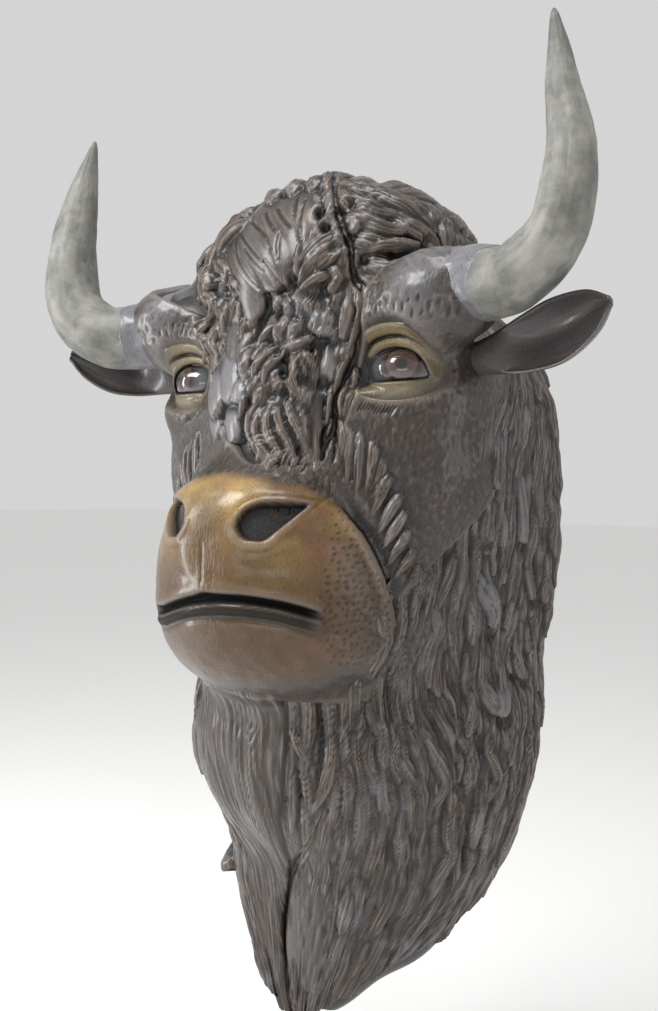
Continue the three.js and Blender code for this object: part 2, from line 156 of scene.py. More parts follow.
class CoatSettings(bpy.types.PropertyGroup):
    face_grain: size("Face spacing", "Distance between the face's mesh points", 1.95)
    hair_grain: size("Hair spacing", "Distance between the hair's mesh points", 1.75)
    far_grain: size("Far spacing", "Distance between mesh points on the animal's right", 2.1)
    skin: colour("Skin", "Bronze grey of the bare face", "#38312c")
    hair: colour("Hair", "Brown grey of the sculpted hair", "#332a23")
    # Dark umber for the specks, and for the painted shade that lies nearly black in the hollows
    wash_and_shade: colour("Wash", "Dark umber that lies in the hollows", "#0a0705")
    # Pale grey dry brushing on the ridges, partly a painted highlight
    dry_brush_and_highlight: colour("Dry brush", "Pale grey that is rubbed over the ridges", "#887c72")
    # Blue grey of worn patches, and on some locks a painted sheen
    blue_grey_and_sheen: colour("Blue grey", "Cool grey of the worn patches", "#6c6c71")
    umber: colour("Umber", "Brown that the lower mane turns to", "#2f2218")
    muzzle: colour("Muzzle", "Tan of the muzzle", "#a0834f")
    muzzle_low: colour("Lower lip", "Deeper tan of the lower lip", "#4a3314")
    russet: colour("Russet", "Reddish brown clouds on the muzzle", "#6d4a35")
    lid: colour("Lid", "Ochre of the eyelids", "#87785a")
    # Black paint, partly painted shade in the nostrils, the mouth's cleft, the whisker pits and along the lids' rims
    black_and_shade: colour("Soot", "Black of the nostrils and mouth", "#040403")


class HornSettings(bpy.types.PropertyGroup):
    rings: IntProperty(name="Rings", description="Rings of points along a horn", default=150, min=20)
    sides: IntProperty(name="Sides", description="Points round a horn", default=72, min=12)
    pale: colour("Pale", "Pale weathered grey of the horn", "#888781")
    grey: colour("Grey", "Middle grey of the horn", "#585853")
    # The dark grey also paints shade in the dips of the horn's surface
    dark: colour("Dark", "Dark blotches on the horn", "#4c4c49")
    beige: colour("Beige", "Beige tint on the horn", "#8e887b")


class EyeSettings(bpy.types.PropertyGroup):
    iris_radius: size("Iris radius", "Radius of the iris", 16)
    pupil_radius: size("Pupil radius", "Radius of the pupil", 6)
    iris: colour("Iris", "Maroon edge of the iris", "#3a2320")
    # The grey in the iris is a painted reflection
    iris_grey_reflection: colour("Iris rim", "Grey middle of the iris", "#5d5754")
    white: colour("White", "Bluish white at the front corner", "#8b989b")


class StageSettings(bpy.types.PropertyGroup):
    floor_size: size("Floor size", "Side of the studio floor", 60000)
    floor: colour("Floor", "Pale floor paint", "#f8f8f7")


# Clay

def soft_min(a, b, width):
    h = np.clip(0.5 + 0.5 * (b - a) / width, 0, 1)
    return b + (a - b) * h - width * h * (1 - h)


def skin_distance(x, y, z, hem=True):
    """Signed distance to the bare clay, negative inside. Without its hem the mane runs on down."""
    distance = np.full(np.shape(x), 1e9)
    mirrored = np.abs(x)
    for centre, radii, pitch, blend in MASSES:
        px = mirrored - centre[0]
        py = y - centre[1]
        pz = z - centre[2]
        if pitch:
            cos, sin = math.cos(math.radians(pitch)), math.sin(math.radians(pitch))
            py, pz = py * cos + pz * sin, pz * cos - py * sin
        px, py, pz = px / radii[0], py / radii[1], pz / radii[2]
        k0 = np.sqrt(px * px + py * py + pz * pz)
        k1 = np.sqrt((px / radii[0]) ** 2 + (py / radii[1]) ** 2 + (pz / radii[2]) ** 2) + 1e-9
        distance = soft_min(distance, k0 * (k0 - 1) / k1, blend)
    if hem:
        cut = (HEM_LEVEL + HEM_SLOPE * y - z) / math.hypot(1, HEM_SLOPE)
        distance = -soft_min(-distance, -cut, 30)
    return np.maximum(distance, y - BACK_ALLOWANCE)


def cast(origin, direction, hem=True):
    """Distance along each ray from inside the head to its outermost skin."""
    origin = np.asarray(origin, float)
    direction = np.asarray(direction, float)

    def outside(far):
        p = origin + direction * far[..., None]
        return skin_distance(p[..., 0], p[..., 1], p[..., 2], hem) > 0

    far = np.full(direction.shape[:-1], float(REACH))
    searching = np.ones(far.shape, bool)
    while searching.any() and far.max() > 0:
        searching &= outside(far)
        far = np.where(searching, np.maximum(far - 10, 0), far)
        searching &= far > 0
    return halve(outside, far, far + 10, 9)


def halve(outside, near, far, rounds):
    for _ in range(rounds):
        middle = (near + far) / 2
        out = outside(middle)
        far = np.where(out, middle, far)
        near = np.where(out, near, middle)
    return near


def resize_rows(table, places):
    """Reads a table's rows at fractional places between 0 and the last row."""
    index = np.clip(np.floor(places).astype(int), 0, len(table) - 2)
    part = (places - index).reshape((-1,) + (1,) * (table.ndim - 1))
    return table[index] * (1 - part) + table[index + 1] * part


def spine_ray(degrees, height):
    """Ray from the head's upright spine: 0 degrees is straight ahead, +90 is the animal's left."""
    angle = np.radians(degrees)
    height = np.broadcast_to(np.asarray(height, float), angle.shape)
    origin = np.stack([np.zeros_like(height), np.interp(height, SPINE_HEIGHTS, SPINE_DEPTHS), height], -1)
    return origin, np.stack([np.sin(angle), -np.cos(angle), np.zeros_like(angle)], -1)


def crown_ray(across, degrees):
    """Ray from an axle through the skull: across runs from -1 to 1, 0 degrees points at the wall, 90 up."""
    across = np.asarray(across, float)
    side = np.radians(58 * across)
    turn = np.radians(np.broadcast_to(np.asarray(degrees, float), across.shape))
    origin = np.stack([100 * across, np.full_like(across, -150), np.full_like(across, 195)], -1)
    direction = np.stack([np.sin(side), np.cos(side) * np.cos(turn), np.cos(side) * np.sin(turn)], -1)
    return origin, direction


def blur(values, cells):
    """Three box blurs, which together are close to a Gaussian."""
    for _ in range(3):
        for axis in (0, 1):
            pad = [(0, 0), (0, 0)]
            pad[axis] = (cells + 1, cells)
            total = np.cumsum(np.pad(values, pad, mode="edge"), axis=axis)
            count = 2 * cells + 1
            ahead = np.take(total, range(count, total.shape[axis]), axis=axis)
            behind = np.take(total, range(total.shape[axis] - count), axis=axis)
            values = (ahead - behind) / count
    return values


def grain(x, y, seed):
    """Smooth random values between -1 and 1 on a unit lattice."""
    column, row = np.floor(x).astype(np.int64), np.floor(y).astype(np.int64)
    fx, fy = x - column, y - row
    fx, fy = fx * fx * (3 - 2 * fx), fy * fy * (3 - 2 * fy)

    def corner(i, j):
        code = (column + i) * 374761393 + (row + j) * 668265263 + seed * 144269504
        code = (code ^ (code >> 13)) * 1274126177
        return ((code ^ (code >> 16)) & 0xFFFF) / 32767.5 - 1

    low = corner(0, 0) * (1 - fx) + corner(1, 0) * fx
    high = corner(0, 1) * (1 - fx) + corner(1, 1) * fx
    return low * (1 - fy) + high * fy


def smooth_step(low, high, value):
    t = np.clip((value - low) / (high - low), 0, 1)
    return t * t * (3 - 2 * t)


def comb_grooves(across, down, depth):
    """Irregular grooves as a comb leaves them in clay, in two widths."""
    wide = np.clip(1 - np.abs(grain(across, down, 3)) / 0.4, 0, 1)
    narrow = np.clip(1 - np.abs(grain(across * 2.1, down * 1.3, 5)) / 0.4, 0, 1)
    return depth * (wide + 0.4 * narrow)


class Sheet:
    """A skin of clay as a grid of points, with the relief that is worked into it."""

    def __init__(self, ray, columns, rows, hem=True):
        self.ray = ray
        self.hem = hem
        coarse_u, coarse_w = np.meshgrid(np.linspace(0, 1, 48), np.linspace(0, 1, 150))
        origin, direction = ray(coarse_u, coarse_w)
        points = origin + direction * cast(origin, direction, hem)[..., None]
        steps = np.linalg.norm(np.diff(points, axis=0), axis=2)
        travelled = np.vstack([np.zeros(48), np.cumsum(blur(steps, 1), axis=0)])
        even = np.empty((rows, 48))
        for i in range(48):
            even[:, i] = np.interp(np.linspace(0, travelled[-1, i], rows), travelled[:, i], coarse_w[:, i])
        w = np.swapaxes(resize_rows(np.swapaxes(even, 0, 1), np.linspace(0, 47, columns)), 0, 1)
        u = np.broadcast_to(np.linspace(0, 1, columns), w.shape)
        origin, direction = ray(u, w)
        rough = cast(origin[::6, ::6], direction[::6, ::6], hem)
        far = self.spread(rough, rows, columns)

        def outside(distance):
            p = origin + direction * distance[..., None]
            return skin_distance(p[..., 0], p[..., 1], p[..., 2], hem) > 0

        far = halve(outside, far - 20, far + 20, 11)
        self.base = origin + direction * far[..., None]
        along_u, along_v = np.gradient(self.base, axis=1), np.gradient(self.base, axis=0)
        normal = np.cross(along_u, along_v)
        self.normal = normal / (np.linalg.norm(normal, axis=2, keepdims=True) + 1e-9)
        self.points = self.base.reshape(-1, 3)
        self.normals = self.normal.reshape(-1, 3)
        self.height = np.zeros(len(self.points))
        self.comb = np.zeros((len(self.points), 3))
        self.hair = np.zeros(len(self.points))
        self.cool = np.zeros(len(self.points))
        self.shape = (rows, columns)

    @staticmethod
    def spread(rough, rows, columns):
        down = np.clip(np.arange(rows) / 6, 0, len(rough) - 1.001)
        over = np.clip(np.arange(columns) / 6, 0, rough.shape[1] - 1.001)
        return resize_rows(resize_rows(rough, down).T.copy(), over).T

    def near(self, path, reach):
        """Points within reach of a path: which, their share of the way along, and distance to its side."""
        low, high = path.min(0) - reach, path.max(0) + reach
        found = np.flatnonzero(np.all((self.points > low) & (self.points < high), axis=1))
        run = np.diff(path, axis=0)
        lengths = np.linalg.norm(run, axis=1) + 1e-6
        offset = self.points[found][:, None] - path[:-1]
        share = np.clip((offset * run).sum(2) / lengths ** 2, 0, 1)
        gap = offset - share[..., None] * run
        square = (gap ** 2).sum(2)
        best = square.argmin(1)
        rows = np.arange(len(found))
        gap, share, run = gap[rows, best], share[rows, best], run[best]
        turn = (gap * np.cross(self.normals[found], run)).sum(1)
        side = np.sqrt(square[rows, best]) * np.where(turn < 0, -1, 1)
        start = np.concatenate([[0], np.cumsum(lengths)])
        along = (start[best] + share * lengths[best]) / start[-1]
        return found, along, side, start[-1]

    def lay_lock(self, path, width, thickness, kind, phase, depth=1.1, cool=0.0):
        """Lays one combed lock over what is there. A flowing lock sinks again toward its tip, a blunt
        one stands proud there, and a smooth one is blunt and has no strands."""
        found, along, side, length = self.near(path, width / 2)
        if kind == "flow":
            outline = np.sin(np.pi * np.clip(0.1 + 0.9 * along, 0, 1)) ** 0.6
            rise = smooth_step(-0.1, 0.4, along) * (1 - 0.45 * smooth_step(0.55, 1, along))
        else:
            outline = smooth_step(-0.2, 0.2, along) * np.sqrt(1 - np.clip((along - 0.78) / 0.22, 0, 1) ** 2.2)
            rise = 0.1 + 0.9 * smooth_step(0, 0.75, along)
        s = side / (width / 2 * outline + 1e-6)
        inside = np.abs(s) < 1
        s = np.clip(s, -1, 1)
        height = HAIR_BASE + thickness * rise * (1 - np.abs(s) ** 2.4) ** 0.6
        across = s * width / 2 * (0.4 + 0.6 * outline) / 3.1 + 9 * phase
        if kind != "smooth":
            height -= (0.4 + 0.6 * rise) * comb_grooves(across, along * length / 55 + phase, depth)
        rises = inside & (height > self.height[found])
        chosen = found[rises]
        self.height[chosen] = height[rises]
        self.comb[chosen, 0] = across[rises] * 3.1
        self.comb[chosen, 1] = along[rises] * length
        self.comb[chosen, 2] = phase
        self.hair[chosen] = 0.35 if kind == "smooth" else 1
        self.cool[chosen] = cool

    def pocket(self, path, width):
        """Sinks the hair just past a blunt tip, where its shadow lies."""
        run = path[-1] - path[-3]
        past = path[-1] + run / np.linalg.norm(run) * width * 0.3
        self.swell(past, (width * 0.36,) * 3, -6)

    def press(self, path, width, depth, lip=0.0):
        """Presses a groove along a path, or raises a ridge where the depth is negative."""
        found, along, side, _ = self.near(path, width * 1.6)
        half = width / 2 * np.sin(np.pi * np.clip(0.08 + 0.84 * along, 0, 1)) ** 0.5 + 1e-6
        s = np.abs(side) / half
        self.height[found] -= depth * np.exp(-s * s * 2)
        if lip:
            self.height[found] += lip * np.exp(-((s - 1.35) / 0.35) ** 2)

    def swell(self, centre, radius, height):
        """Raises a soft mound, or a dent where the height is negative."""
        gap = (self.points - centre) / radius
        self.height += height * np.exp(-(gap ** 2).sum(1))

    def grid(self, values):
        return values.reshape(self.shape + values.shape[1:])

    def relief(self):
        """How far each point stands above its close and its wider neighbourhood, in mm."""
        height = self.grid(self.height)
        return (height - blur(height, 1)).ravel(), (height - blur(height, 5)).ravel()


# Soft mounds that the clay has over the solid head: centre, radii and height
BULK = (((-140, -242, 262), (44, 54, 38), 17),)


def bulk(points):
    """How far the clay stands off the solid head at each point, in mm."""
    return sum(height * np.exp(-(((points - centre) / radii) ** 2).sum(1)) for centre, radii, height in BULK)


def skin_paths(guides, ray, hem=False, samples=14):
    """Lays each guide, a few given stations, on the clay as a smooth line of points."""
    lines = []
    for guide in guides:
        stations = np.array(guide, float)
        knots = np.linspace(0, 1, len(stations))
        fine = np.linspace(0, 1, samples)
        if len(stations) > 2:
            lines.append(smooth_line(stations, samples))
        else:
            lines.append(np.stack([np.interp(fine, knots, stations[:, k]) for k in (0, 1)], 1))
    stations = np.array(lines)
    origin, direction = ray(stations[..., 0], stations[..., 1])
    return origin + direction * cast(origin, direction, hem)[..., None]


def smooth_line(stations, samples):
    """A curve through the stations, with a running start and end."""
    stations = np.asarray(stations, float)
    padded = np.vstack([2 * stations[0] - stations[1], stations, 2 * stations[-1] - stations[-2]])
    place = np.linspace(0, len(stations) - 1, samples)
    index = np.clip(place.astype(int), 0, len(stations) - 2)
    t = (place - index)[:, None]
    a, b, c, d = (padded[index + k] for k in range(4))
    return 0.5 * (2 * b + (c - a) * t + (2 * a - 5 * b + 4 * c - d) * t * t + (3 * b - a - 3 * c + d) * t ** 3)


# Meshes

def deselect():
    if bpy.context.object and bpy.context.object.mode != "OBJECT":
        bpy.ops.object.mode_set(mode="OBJECT")
    bpy.ops.object.select_all(action="DESELECT")


def edit(obj):
    deselect()
    obj.select_set(True)
    bpy.context.view_layer.objects.active = obj


def delete_points(obj, doomed):
    """Deletes the marked vertices in edit mode."""
    edit(obj)
    bpy.ops.object.mode_set(mode="EDIT")
    bpy.ops.mesh.select_mode(type="VERT")
    bpy.ops.mesh.select_all(action="DESELECT")
    bpy.ops.object.mode_set(mode="OBJECT")
    obj.data.vertices.foreach_set("select", doomed)
    bpy.ops.object.mode_set(mode="EDIT")
    bpy.ops.mesh.delete(type="VERT")
    bpy.ops.object.mode_set(mode="OBJECT")


def grid_piece(name, points, attributes=None, keep=None):
    """A grid primitive whose points are moved to the given places, in mm, row by row."""
    rows, columns = points.shape[:2]
    deselect()
    bpy.ops.mesh.primitive_grid_add(x_subdivisions=columns - 1, y_subdivisions=rows - 1, size=1)
    piece = bpy.context.object
    piece.name = name
    piece.data.name = name
    piece.data.vertices.foreach_set("co", (points.reshape(-1, 3) * MM).astype(np.float32).ravel())
    set_attributes(piece, attributes or {})
    piece.data.update()
    if keep is not None and not keep.all():
        delete_points(piece, ~keep.ravel())
    smooth(piece)
    return piece


def set_attributes(piece, attributes):
    for key, values in attributes.items():
        kind = "FLOAT" if values.ndim == 1 else "FLOAT_VECTOR"
        field = "value" if values.ndim == 1 else "vector"
        layer = piece.data.attributes.new(key, kind, "POINT")
        layer.data.foreach_set(field, values.astype(np.float32).ravel())


def smooth(piece):
    edit(piece)
    bpy.ops.object.shade_smooth()


def tube_piece(name, rings, attributes=None):
    """A closed tube through rings of points in mm, its ends drawn together, from a grid primitive."""
    count, sides = rings.shape[:2]
    wrapped = np.concatenate([rings, rings[:, :1]], axis=1)
    ends = [wrapped[:1] * 0 + rings[k].mean(0) for k in (0, -1)]
    points = np.concatenate([ends[0], wrapped, ends[1]])
    values = {}
    for key, value in (attributes or {}).items():
        table = value.reshape((count, sides) + value.shape[1:])
        table = np.concatenate([table, table[:, :1]], axis=1)
        table = np.concatenate([table[:1], table, table[-1:]])
        values[key] = table.reshape((-1,) + value.shape[1:])
    piece = grid_piece(name, points, values)
    edit(piece)
    bpy.ops.object.mode_set(mode="EDIT")
    bpy.ops.mesh.select_all(action="SELECT")
    bpy.ops.mesh.remove_doubles(threshold=0.00001)
    bpy.ops.mesh.normals_make_consistent(inside=False)
    bpy.ops.object.mode_set(mode="OBJECT")
    return piece


def sweep_frames(path, samples, upright):
    """Points along a smooth path, with its run and the two directions across it."""
    centres = smooth_line(path, samples)
    run = np.gradient(centres, axis=0)
    run /= np.linalg.norm(run, axis=1, keepdims=True)
    first = np.cross(run, upright)
    first /= np.linalg.norm(first, axis=1, keepdims=True)
    return centres, run, first, np.cross(first, run)


# Materials

def node(tree, kind, inputs=None, **settings):
    """Adds a shader node with its settings; an input is a value or the socket that feeds it."""
    made = tree.nodes.new(kind)
    for key, value in settings.items():
        setattr(made, key, value)
    for socket, value in (inputs or {}).items():
        if isinstance(value, bpy.types.NodeSocket):
            tree.links.new(value, made.inputs[socket])
        else:
            made.inputs[socket].default_value = value
    return made


def new_material(name):
    material = bpy.data.materials.new(name)
    material.use_nodes = True
    material.node_tree.nodes.clear()
    return material, material.node_tree


def opaque(rgb):
    return (rgb[0], rgb[1], rgb[2], 1)


def wear_material(piece, material):
    piece.data.materials.clear()
    piece.data.materials.append(material)


def finish_piece(piece, slot, material, *nodes):
    wear_material(piece, material)
    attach(piece, "root")
    if nodes:
        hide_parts(*nodes)


def painted_coat(settings):
    """Satin acrylic over cast resin, with painted shade: dark umber, nearly black, in the hollows and between strands,
    and pale dry brushing, partly a painted highlight, on the ridges.
    """
    found = bpy.data.materials.get("painted_cast_resin")
    if found:
        return found
    material, tree = new_material("painted_cast_resin")
    place = node(tree, "ShaderNodeTexCoord").outputs["Object"]
    # The cool attribute carries the blue grey: worn patches, and on some locks a painted sheen
    relief, hollow, hair, worn = (node(tree, "ShaderNodeAttribute", attribute_name=name).outputs["Fac"]
                                  for name in ("relief", "hollow", "hair", "cool"))
    comb, tint = (node(tree, "ShaderNodeAttribute", attribute_name=name).outputs["Vector"]
                  for name in ("comb", "tint"))
    tints = node(tree, "ShaderNodeSeparateXYZ", {0: tint})
    height = node(tree, "ShaderNodeSeparateXYZ", {0: place}).outputs[2]
    # Clouds some 80 mm across vary the paint, and specks of 3 mm break it up
    clouds = node(tree, "ShaderNodeTexNoise", {"Vector": place, "Scale": 12.0, "Detail": 4.0}).outputs["Fac"]
    specks = node(tree, "ShaderNodeTexNoise", {"Vector": place, "Scale": 330.0, "Detail": 2.0}).outputs["Fac"]
    patches = node(tree, "ShaderNodeTexNoise", {"Vector": place, "Scale": 24.0, "Detail": 3.0}).outputs["Fac"]
    low = node(tree, "ShaderNodeMapRange", {0: height, 1: -0.12, 2: -0.5, 3: 0.0, 4: 0.75}).outputs[0]
    low = node(tree, "ShaderNodeMath", {0: low, 1: clouds}, operation="MULTIPLY").outputs[0]
    cool = node(tree, "ShaderNodeMapRange", {0: patches, 1: 0.54, 2: 0.72, 3: 0.0, 4: 0.55}).outputs[0]
    cool = node(tree, "ShaderNodeMath", {0: cool, 1: hair}, operation="MULTIPLY").outputs[0]
    cool = node(tree, "ShaderNodeMath", {0: cool, 1: worn}, operation="MAXIMUM").outputs[0]
    base = opaque(settings.skin)
    for factor, tone in ((hair, settings.hair), (low, settings.umber), (cool, settings.blue_grey_and_sheen)):
        base = node(tree, "ShaderNodeMix", {0: factor, 6: base, 7: opaque(tone)}, data_type="RGBA").outputs[2]
    # The muzzle's tan deepens toward the lower lip
    level = node(tree, "ShaderNodeMapRange", {0: height, 1: -0.1, 2: 0.01}).outputs[0]
    stain = node(tree, "ShaderNodeMapRange", {0: clouds, 1: 0.42, 2: 0.62, 3: 0.0, 4: 0.85}).outputs[0]
    flush = node(tree, "ShaderNodeMapRange", {0: patches, 1: 0.52, 2: 0.7, 3: 0.0, 4: 0.5}).outputs[0]
    tan = opaque(settings.muzzle_low)
    for factor, tone in ((level, settings.muzzle), (stain, settings.muzzle_low), (flush, settings.russet)):
        tan = node(tree, "ShaderNodeMix", {0: factor, 6: tan, 7: opaque(tone)}, data_type="RGBA").outputs[2]
    base = node(tree, "ShaderNodeMix", {0: tints.outputs[0], 6: base, 7: tan}, data_type="RGBA").outputs[2]
    speckle = node(tree, "ShaderNodeMapRange", {0: specks, 1: 0.55, 2: 0.75, 3: 0.0, 4: 0.45}).outputs[0]
    # Strand colour follows the combing: streaks 1.5 mm wide and some 40 mm long
    stretch = node(tree, "ShaderNodeVectorMath", {0: comb, 1: (0.65, 0.03, 1.0)}, operation="MULTIPLY")
    strands = node(tree, "ShaderNodeTexNoise", {"Vector": stretch.outputs[0], "Scale": 1.0, "Detail": 2.0}).outputs["Fac"]
    # The fine ridges are rubbed pale grey along the strands: dry brushing, partly a painted highlight
    ridge = node(tree, "ShaderNodeMapRange", {0: relief, 1: 0.0, 2: 0.6, 3: 0.0, 4: 0.6}).outputs[0]
    rub = node(tree, "ShaderNodeMapRange", {0: strands, 1: 0.35, 2: 0.65}).outputs[0]
    ridge = node(tree, "ShaderNodeMath", {0: ridge, 1: rub}, operation="MULTIPLY").outputs[0]
    # Painted shade: the hollows and the grooves between strands are painted nearly black
    painted_shade = node(tree, "ShaderNodeMapRange", {0: hollow, 1: 0.2, 2: -2.6, 3: 0.0, 4: 0.97}).outputs[0]
    fine_painted_shade = node(tree, "ShaderNodeMapRange", {0: relief, 1: -0.05, 2: -0.7, 3: 0.0, 4: 0.8}).outputs[0]
    painted_shade = node(tree, "ShaderNodeMath", {0: painted_shade, 1: fine_painted_shade}, operation="MAXIMUM").outputs[0]
    # Over the base go ochre lids, dark specks, pale ridges that are partly a painted highlight, painted shade in the
    # hollows, and black that is partly painted shade
    layers = ((tints.outputs[1], settings.lid), (speckle, settings.wash_and_shade), (ridge, settings.dry_brush_and_highlight),
              (painted_shade, settings.wash_and_shade), (tints.outputs[2], settings.black_and_shade))
    for factor, tone in layers:
        base = node(tree, "ShaderNodeMix", {0: factor, 6: base, 7: opaque(tone)}, data_type="RGBA").outputs[2]
    rough = node(tree, "ShaderNodeMapRange", {0: clouds, 1: 0.3, 2: 0.7, 3: 0.27, 4: 0.42}).outputs[0]
    # Fine strands stand 0.4 mm on the hair, and short fur 0.3 mm on the skin
    fur = node(tree, "ShaderNodeMapping", {"Vector": place, "Scale": (420, 420, 170)}).outputs[0]
    fur = node(tree, "ShaderNodeTexNoise", {"Vector": fur, "Scale": 1.0, "Detail": 2.0}).outputs["Fac"]
    fine = node(tree, "ShaderNodeMix", {0: hair, 2: fur, 3: strands}, data_type="FLOAT").outputs[0]
    bump = node(tree, "ShaderNodeBump", {"Height": fine, "Distance": 0.0009, "Strength": 0.8}).outputs[0]
    # The black recesses are dull
    rough = node(tree, "ShaderNodeMath", {0: rough, 1: tints.outputs[2]}, operation="MAXIMUM").outputs[0]
    gloss = node(tree, "ShaderNodeMapRange", {0: tints.outputs[2], 1: 0.5, 2: 1.0, 3: 0.42, 4: 0.0}).outputs[0]
    shader = node(tree, "ShaderNodeBsdfPrincipled", {"Base Color": base, "Roughness": rough, "Normal": bump,
                                                     "Specular IOR Level": 0.3, "Coat Weight": gloss,
                                                     "Coat Roughness": 0.2})
    node(tree, "ShaderNodeOutputMaterial", {"Surface": shader.outputs[0]})
    return material


# Core of the casting

def core_points(unit):
    """Moves the points of a unit ball onto the sunken clay, row by row of equal travel."""
    degrees = np.degrees(np.arctan2(unit[:, 0], -unit[:, 1]))
    share = 1 - np.arccos(np.clip(unit[:, 2], -1, 1)) / np.pi
    angles, heights = np.linspace(-180, 180, 121), np.linspace(HEAD_BOTTOM, HEAD_TOP, 200)
    wide, tall = np.meshgrid(angles, heights)
    origin, direction = spine_ray(wide, tall)
    points = origin + direction * cast(origin, direction)[..., None]
    travelled = np.vstack([np.zeros(121), np.cumsum(np.linalg.norm(np.diff(points, axis=0), axis=2), axis=0)])
    even = np.array([np.interp(np.linspace(0, travelled[-1, i], 200), travelled[:, i], heights)
                     for i in range(121)]).T
    column = (degrees + 180) / 3
    left = np.clip(column.astype(int), 0, 119)
    row = share * 199
    below = np.clip(row.astype(int), 0, 198)
    a, b = column - left, row - below
    level = ((even[below, left] * (1 - a) + even[below, left + 1] * a) * (1 - b)
             + (even[below + 1, left] * (1 - a) + even[below + 1, left + 1] * a) * b)
    origin, direction = spine_ray(degrees, level)
    return origin + direction * np.maximum(cast(origin, direction) - SKIN_SINK, 0)[..., None]


class HEAD_OT_core(bpy.types.Operator):
    """Makes the closed body of the casting, with its flat back and the plate's pocket"""

    bl_idname = "head.core"
    bl_label = "Casting core"

    def execute(self, context):
        settings = context.scene.buffalo_coat
        deselect()
        bpy.ops.mesh.primitive_uv_sphere_add(segments=180, ring_count=150, radius=1)
        core = context.object
        core.name = "casting_core"
        unit = np.array([v.co for v in core.data.vertices])
        points = core_points(unit)
        points[:, 1] = np.minimum(points[:, 1], 0)
        core.data.vertices.foreach_set("co", (points * MM).ravel())
        count = len(points)
        # The core is painted nearly black all over: painted shade where it shows through the skin and between the locks
        set_attributes(core, {"relief": np.zeros(count), "hollow": np.full(count, -3.0), "hair": np.ones(count),
                              "comb": points * (1, 0.2, 1), "cool": np.zeros(count),
                              "tint": np.zeros((count, 3))})
        low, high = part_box("hanging_plate")
        for half, depth, room in ((0.0353, 0.0033, 0.0103), (0.013, 0.017, 0.0)):
            tall = (high.z - low.z) / 2 + 0.0003 if room else 0.027
            deselect()
            bpy.ops.mesh.primitive_cube_add(size=2, location=(0, -depth / 2 + 0.005, (low.z + high.z) / 2),
                                            scale=(half, depth / 2 + 0.005, tall))
            cutter = context.object
            edit(core)
            cut = core.modifiers.new("pocket", "BOOLEAN")
            cut.operation = "DIFFERENCE"
            cut.solver = "EXACT"
            cut.object = cutter
            bpy.ops.object.modifier_apply(modifier="pocket")
            bpy.data.objects.remove(cutter)
        edit(core)
        bpy.ops.object.shade_smooth_by_angle(angle=math.radians(40))
        finish_piece(core, "coat_paint", painted_coat(settings), "head")
        return {"FINISHED"}


def face_limit(height):
    """How far round the head the bare face reaches, in degrees, at a height."""
    return np.interp(height, (-230, -200, -100, -60, 0, 100, 160, 280), (44, 47, 51, 62, 78, 82, 88, 88))


def face_ray(u, w):
    height = -222 + (268 + 222) * w
    return spine_ray((2 * u - 1) * face_limit(height), height)


def polar(points):
    """Each point's direction round the spine, in degrees."""
    spine = np.interp(points[:, 2], SPINE_HEIGHTS, SPINE_DEPTHS)
    return np.degrees(np.arctan2(points[:, 0], spine - points[:, 1]))


def camera_axes():
    """Directions straight ahead of the camera, to its right and up."""
    turn, pitch, roll = CAMERA_TURN, CAMERA_PITCH, CAMERA_ROLL
    ahead = np.array((-math.sin(turn) * math.cos(pitch), math.cos(turn) * math.cos(pitch), math.sin(pitch)))
    level = np.array((math.cos(turn), math.sin(turn), 0))
    above = np.cross(level, ahead)
    right = level * math.cos(roll) + above * math.sin(roll)
    up = above * math.cos(roll) - level * math.sin(roll)
    return ahead, right, up


def photo_guide(crop, stroke):
    """Stations on the clay behind a stroke drawn on the photograph, to the degree and the millimetre."""
    left, top, enlargement = crop
    stroke = np.array(stroke, float)
    ahead, right, up = camera_axes()
    across = (left + stroke[:, :1] / enlargement - PHOTO_WIDTH_PX / 2) / FOCAL_PX
    down = (top + stroke[:, 1:] / enlargement - PHOTO_HEIGHT_PX / 2) / FOCAL_PX
    direction = ahead + across * right - down * up
    direction /= np.linalg.norm(direction, axis=1, keepdims=True)
    far = np.full(len(stroke), MARCH_START)
    landed = np.zeros(len(stroke), bool)
    for _ in range(MARCH_STEPS):
        place = CAMERA_PLACE + direction * far[:, None]
        distance = skin_distance(*place.T)
        landed |= distance < MARCH_CLOSE
        far = np.where(landed, far, far + np.clip(distance / 2, MARCH_CLOSE, MARCH_STRIDE))
    place = CAMERA_PLACE + direction * far[:, None]
    return tuple(zip(np.round(polar(place)).tolist(), np.round(place[:, 2]).tolist()))


def photo_locks(crop, strokes):
    """Locks from strokes drawn on a crop of the photograph, with their looks."""
    return tuple((photo_guide(crop, stroke), *looks) for stroke, *looks in strokes)


# Guides are stations on the skin, root to tip: degrees round the spine, height in mm.
NOSE_SIDE_TUFTS = (
    (((29, 84), (30, 45), (29, 4)), 17, 7), (((32.5, 76), (33, 40), (32, -4)), 18, 8),
    (((36, 66), (36.5, 34), (34.5, -2)), 17, 8), (((39, 46), (38.5, 22), (36, -2)), 15, 8),
    (((43, 26), (39.5, 8), (36.5, -22)), 18, 10), (((45.5, 8), (42, -12), (38.5, -38)), 17, 10),
    (((47, -10), (43.5, -28), (40, -52)), 17, 10), (((48.5, -28), (45, -46), (41.5, -68)), 17, 10),
    (((50, -46), (47, -62), (43.5, -82)), 17, 10), (((52, -62), (49.5, -80), (46, -98)), 17, 9),
)
MUZZLE_EDGE = ((26.8, -9), (33.4, -35), (37.4, -59), (40.3, -83), (42.7, -108), (44.4, -131), (42, -153),
               (37, -176))


MOUTH_DEGREES = (-28, -16, -10, -4.4, 0, 4, 9, 13, 17, 21, 26, 28)
MOUTH_HEIGHTS = (-134, -127, -119, -112, -108.5, -106.5, -106, -107.5, -110, -114.5, -121, -125)
